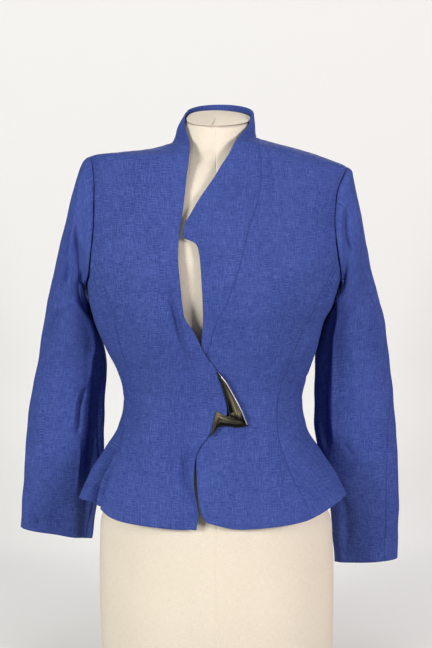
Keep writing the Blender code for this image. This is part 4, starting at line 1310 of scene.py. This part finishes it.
# Rows of the base's rounded edge, and those of the neck's: how far below its top, and how far drawn in.
BASE_ROWS = 6
NeckRow = namedtuple("NeckRow", "below drawn")
NECK_EDGE = [NeckRow(2.5, 0), NeckRow(1, 0.4), NeckRow(0, 1.2)]
# The neck cap's rows, as shares of its reach. Its seam has a row and a spread as such shares, and a
# depth. Its pleat has an angle and a depth, and fades in between two rows.
CAP_ROWS = (0.985, 0.965, 0.94, 0.9, 0.8, 0.65, 0.5, 0.35, 0.2, 0.08, 0.02)
CAP_SEAM, CAP_SEAM_SPREAD = 0.965, 0.014
CAP_SEAM_DEPTH = 0.7
CAP_PLEAT = -5.0
CAP_PLEAT_DEPTH = 3.0
CAP_PLEAT_START, CAP_PLEAT_FULL = 0.1, 0.9


class MakeForm(bpy.types.Operator):
    """Make the padded dress form, with its seams, its sloping neck cap and its flat base"""

    bl_idname = "jacket.form"
    bl_label = "Dress form"

    def execute(self, context):
        looks = context.scene.jacket_form
        top = FORM_RINGS[-1].level
        turns = set(np.arange(0, 360, FORM_TURN))
        for seam in (*FORM_SEAMS, CAP_PLEAT):
            turns |= {(seam + side * turn) % 360 for turn in SEAM_TURNS for side in (-1, 1)}
        angle = np.array(sorted(turns))
        edge = looks.base_edge / MM
        low = edge * (1 - np.cos(np.linspace(0, np.pi / 2, BASE_ROWS)))
        neck = [top - row.below for row in NECK_EDGE]
        level = np.concatenate([low, np.arange(edge, top, FORM_ROW)[1:], neck])
        inset = edge * (1 - np.sqrt(1 - (1 - np.clip(level / edge, 0, 1)) ** 2))
        rings = ring_point(FORM_RINGS, angle[None, :], level[:, None])
        centre = rings.mean(axis=1, keepdims=True)
        reach = np.linalg.norm((rings - centre)[..., :2], axis=-1)
        away = [np.radians(turn_between(angle, seam)) * reach for seam in FORM_SEAMS]
        groove = np.clip(sum(hump(gap / SEAM_SPREAD) for gap in away), 0, 1)
        drawn = inset[:, None] + looks.seam / MM * groove
        drawn[-len(NECK_EDGE):] += np.array([[row.drawn] for row in NECK_EDGE])
        rings = centre + (rings - centre) * (1 - drawn / reach)[..., None]
        cap = []
        for row in CAP_ROWS:
            seam = CAP_SEAM_DEPTH * hump((row - CAP_SEAM) / CAP_SEAM_SPREAD)
            rise = looks.dome / MM * (1 - row**2) - seam
            pleat = hump(np.radians(turn_between(angle, CAP_PLEAT)) * row * reach[-1] / SEAM_SPREAD)
            ring = centre[-1] + (rings[-1] - centre[-1]) * row
            ring[:, 2] += rise - CAP_PLEAT_DEPTH * pleat * step(row, CAP_PLEAT_START, CAP_PLEAT_FULL)
            cap.append(ring)
        rings = np.concatenate([rings, np.stack(cap)])
        points, faces = loft(rings)
        around = ways(np.concatenate([rings, rings[:, :1]], axis=1), 1)[:, :-1]
        up = np.broadcast_to(ways(rings, 0).mean(axis=1, keepdims=True), around.shape)
        grain = np.stack([around, up], axis=-1).reshape(-1, 2)
        add_piece("dress_form", points, faces, grain, canvas(looks), "dress_form")
        return {"FINISHED"}


# The stage in metres: half its width, how far it comes forward, the wall's height, the bend between the
# floor and the wall, and how far the floor is below the form's base.
STAGE_HALF = 4.0
STAGE_FRONT = 4.0
STAGE_HEIGHT = 3.4
STAGE_BEND = 0.35
BEND_PARTS = 16
FLOOR_DROP = 0.0005
# The lights, by the property that gives each one's power: place, width and tint. They are turned to one
# point.
Light = namedtuple("Light", "place width tint")
LIGHTS = {
    "key": Light((-1.95, -1.82, 0.95), 0.8, (0.985, 1.0, 0.965)),
    "fill": Light((1.95, -1.82, 0.95), 0.8, (1.0, 0.955, 0.95)),
    "top": Light((0.0, -0.4, 2.9), 1.6, (1.0, 1.0, 1.0)),
    "back": Light((0.4, 2.6, 1.9), 1.4, (1.0, 1.0, 1.0)),
}
LIGHT_AIM = (0.0, 0.0, 0.45)
ROOM_TINT = (1.0, 0.99, 0.97, 1)
FLOOR_ROUGHNESS = 0.95
# How far the camera stands to the side of the form's middle.
CAMERA_SIDE = 0.0015


def pale_floor(looks):
    """Pale floor and wall that throw back little light. They are clear from behind and cast no shadow, so
    that a view from behind looks past the wall and the back light shines through it."""
    material, tree, shader = new_material("pale_floor")
    ray = add_node(tree, "ShaderNodeLightPath").outputs
    shade = mix(tree, ray["Is Camera Ray"], looks.bounce, looks.pale)
    set_inputs(tree, shader, {"Base Color": shade, "Roughness": FLOOR_ROUGHNESS})
    behind = add_node(tree, "ShaderNodeNewGeometry").outputs["Backfacing"]
    open_to = calc(tree, "MAXIMUM", behind, ray["Is Shadow Ray"])
    clear = add_node(tree, "ShaderNodeBsdfTransparent").outputs[0]
    mixed = add_node(tree, "ShaderNodeMixShader", {0: open_to, 1: shader.outputs[0], 2: clear})
    tree.links.new(mixed.outputs[0], tree.nodes["Material Output"].inputs["Surface"])
    return material


def add_light(name, light, watts):
    """A square soft light, turned to the point that all lights are turned to."""
    data = bpy.data.lights.new(name, "AREA")
    data.size = light.width
    data.energy = watts
    data.color = light.tint
    made = bpy.data.objects.new(name, data)
    made.location = light.place
    x, y, z = np.array(LIGHT_AIM) - np.array(light.place)
    made.rotation_euler = (math.atan2(np.hypot(x, y), -z), 0, math.atan2(-x, y))
    bpy.context.scene.collection.objects.link(made)


class SetStage(bpy.types.Operator):
    """Set the pale floor and wall, the soft lights and the camera"""

    bl_idname = "jacket.stage"
    bl_label = "Stage"

    def execute(self, context):
        scene, looks = context.scene, context.scene.jacket_stage
        bend = np.linspace(0, np.pi / 2, BEND_PARTS)
        y = [-STAGE_FRONT, *(looks.wall - STAGE_BEND + STAGE_BEND * np.sin(bend)), looks.wall]
        z = [0, *(STAGE_BEND * (1 - np.cos(bend))), STAGE_HEIGHT]
        floor = CAD_BOX[0].z - FLOOR_DROP
        points = [(x, a, floor + b) for a, b in zip(y, z) for x in (-STAGE_HALF, STAGE_HALF)]
        faces = [(k, k + 1, k + 3, k + 2) for k in range(0, len(points) - 2, 2)]
        mesh = bpy.data.meshes.new("floor")
        mesh.from_pydata(points, [], faces)
        mesh.shade_smooth()
        mesh.materials.append(pale_floor(looks))
        made = bpy.data.objects.new("floor", mesh)
        scene.collection.objects.link(made)

        for name, light in LIGHTS.items():
            add_light(f"{name}_light", light, getattr(looks, name))
        world = bpy.data.worlds.new("room")
        world.use_nodes = True
        room = world.node_tree.nodes["Background"]
        set_inputs(world.node_tree, room, {"Color": ROOM_TINT, "Strength": looks.room})
        scene.world = world
        scene.view_settings.view_transform = "Standard"

        data = bpy.data.cameras.new("camera")
        data.lens = looks.lens
        camera = bpy.data.objects.new("camera", data)
        camera.location = (CAMERA_SIDE, -looks.distance, looks.height)
        camera.rotation_euler = (math.pi / 2 - looks.tilt, 0, 0)
        scene.collection.objects.link(camera)
        scene.camera = camera
        return {"FINISHED"}


MAKERS = (MakeFronts, MakeBacks, MakeSleeves, MakeClasp, MakeForm, SetStage)
GROUPS = {
    "jacket_cloth": JacketCloth,
    "jacket_form": FormLooks,
    "jacket_clasp": ClaspLooks,
    "jacket_stage": StageLooks,
}


class JacketPanel(bpy.types.Panel):
    """Lists the jacket's makers and their sizes"""

    bl_idname = "VIEW3D_PT_jacket"
    bl_label = "Fitted jacket"
    bl_space_type = "VIEW_3D"
    bl_region_type = "UI"
    bl_category = "Jacket"

    def draw(self, context):
        for maker in MAKERS:
            self.layout.operator(maker.bl_idname)
        for name, group in GROUPS.items():
            box = self.layout.box()
            for key in group.__annotations__:
                box.prop(getattr(context.scene, name), key)


def register():
    for made in (*GROUPS.values(), *MAKERS, JacketPanel):
        bpy.utils.register_class(made)
    for name, group in GROUPS.items():
        setattr(bpy.types.Scene, name, bpy.props.PointerProperty(type=group))


def unregister():
    for name in GROUPS:
        delattr(bpy.types.Scene, name)
    for made in (JacketPanel, *reversed(MAKERS), *GROUPS.values()):
        bpy.utils.unregister_class(made)


def main():
    register()
    for old in [o for o in bpy.data.objects if o.type in ("CAMERA", "LIGHT") or o.name == "Cube"]:
        bpy.data.objects.remove(old)
    bpy.ops.jacket.fronts()
    bpy.ops.jacket.backs()
    bpy.ops.jacket.sleeves()
    bpy.ops.jacket.clasp()
    bpy.ops.jacket.form()
    bpy.ops.jacket.stage()


if __name__ == "__main__":
    main()
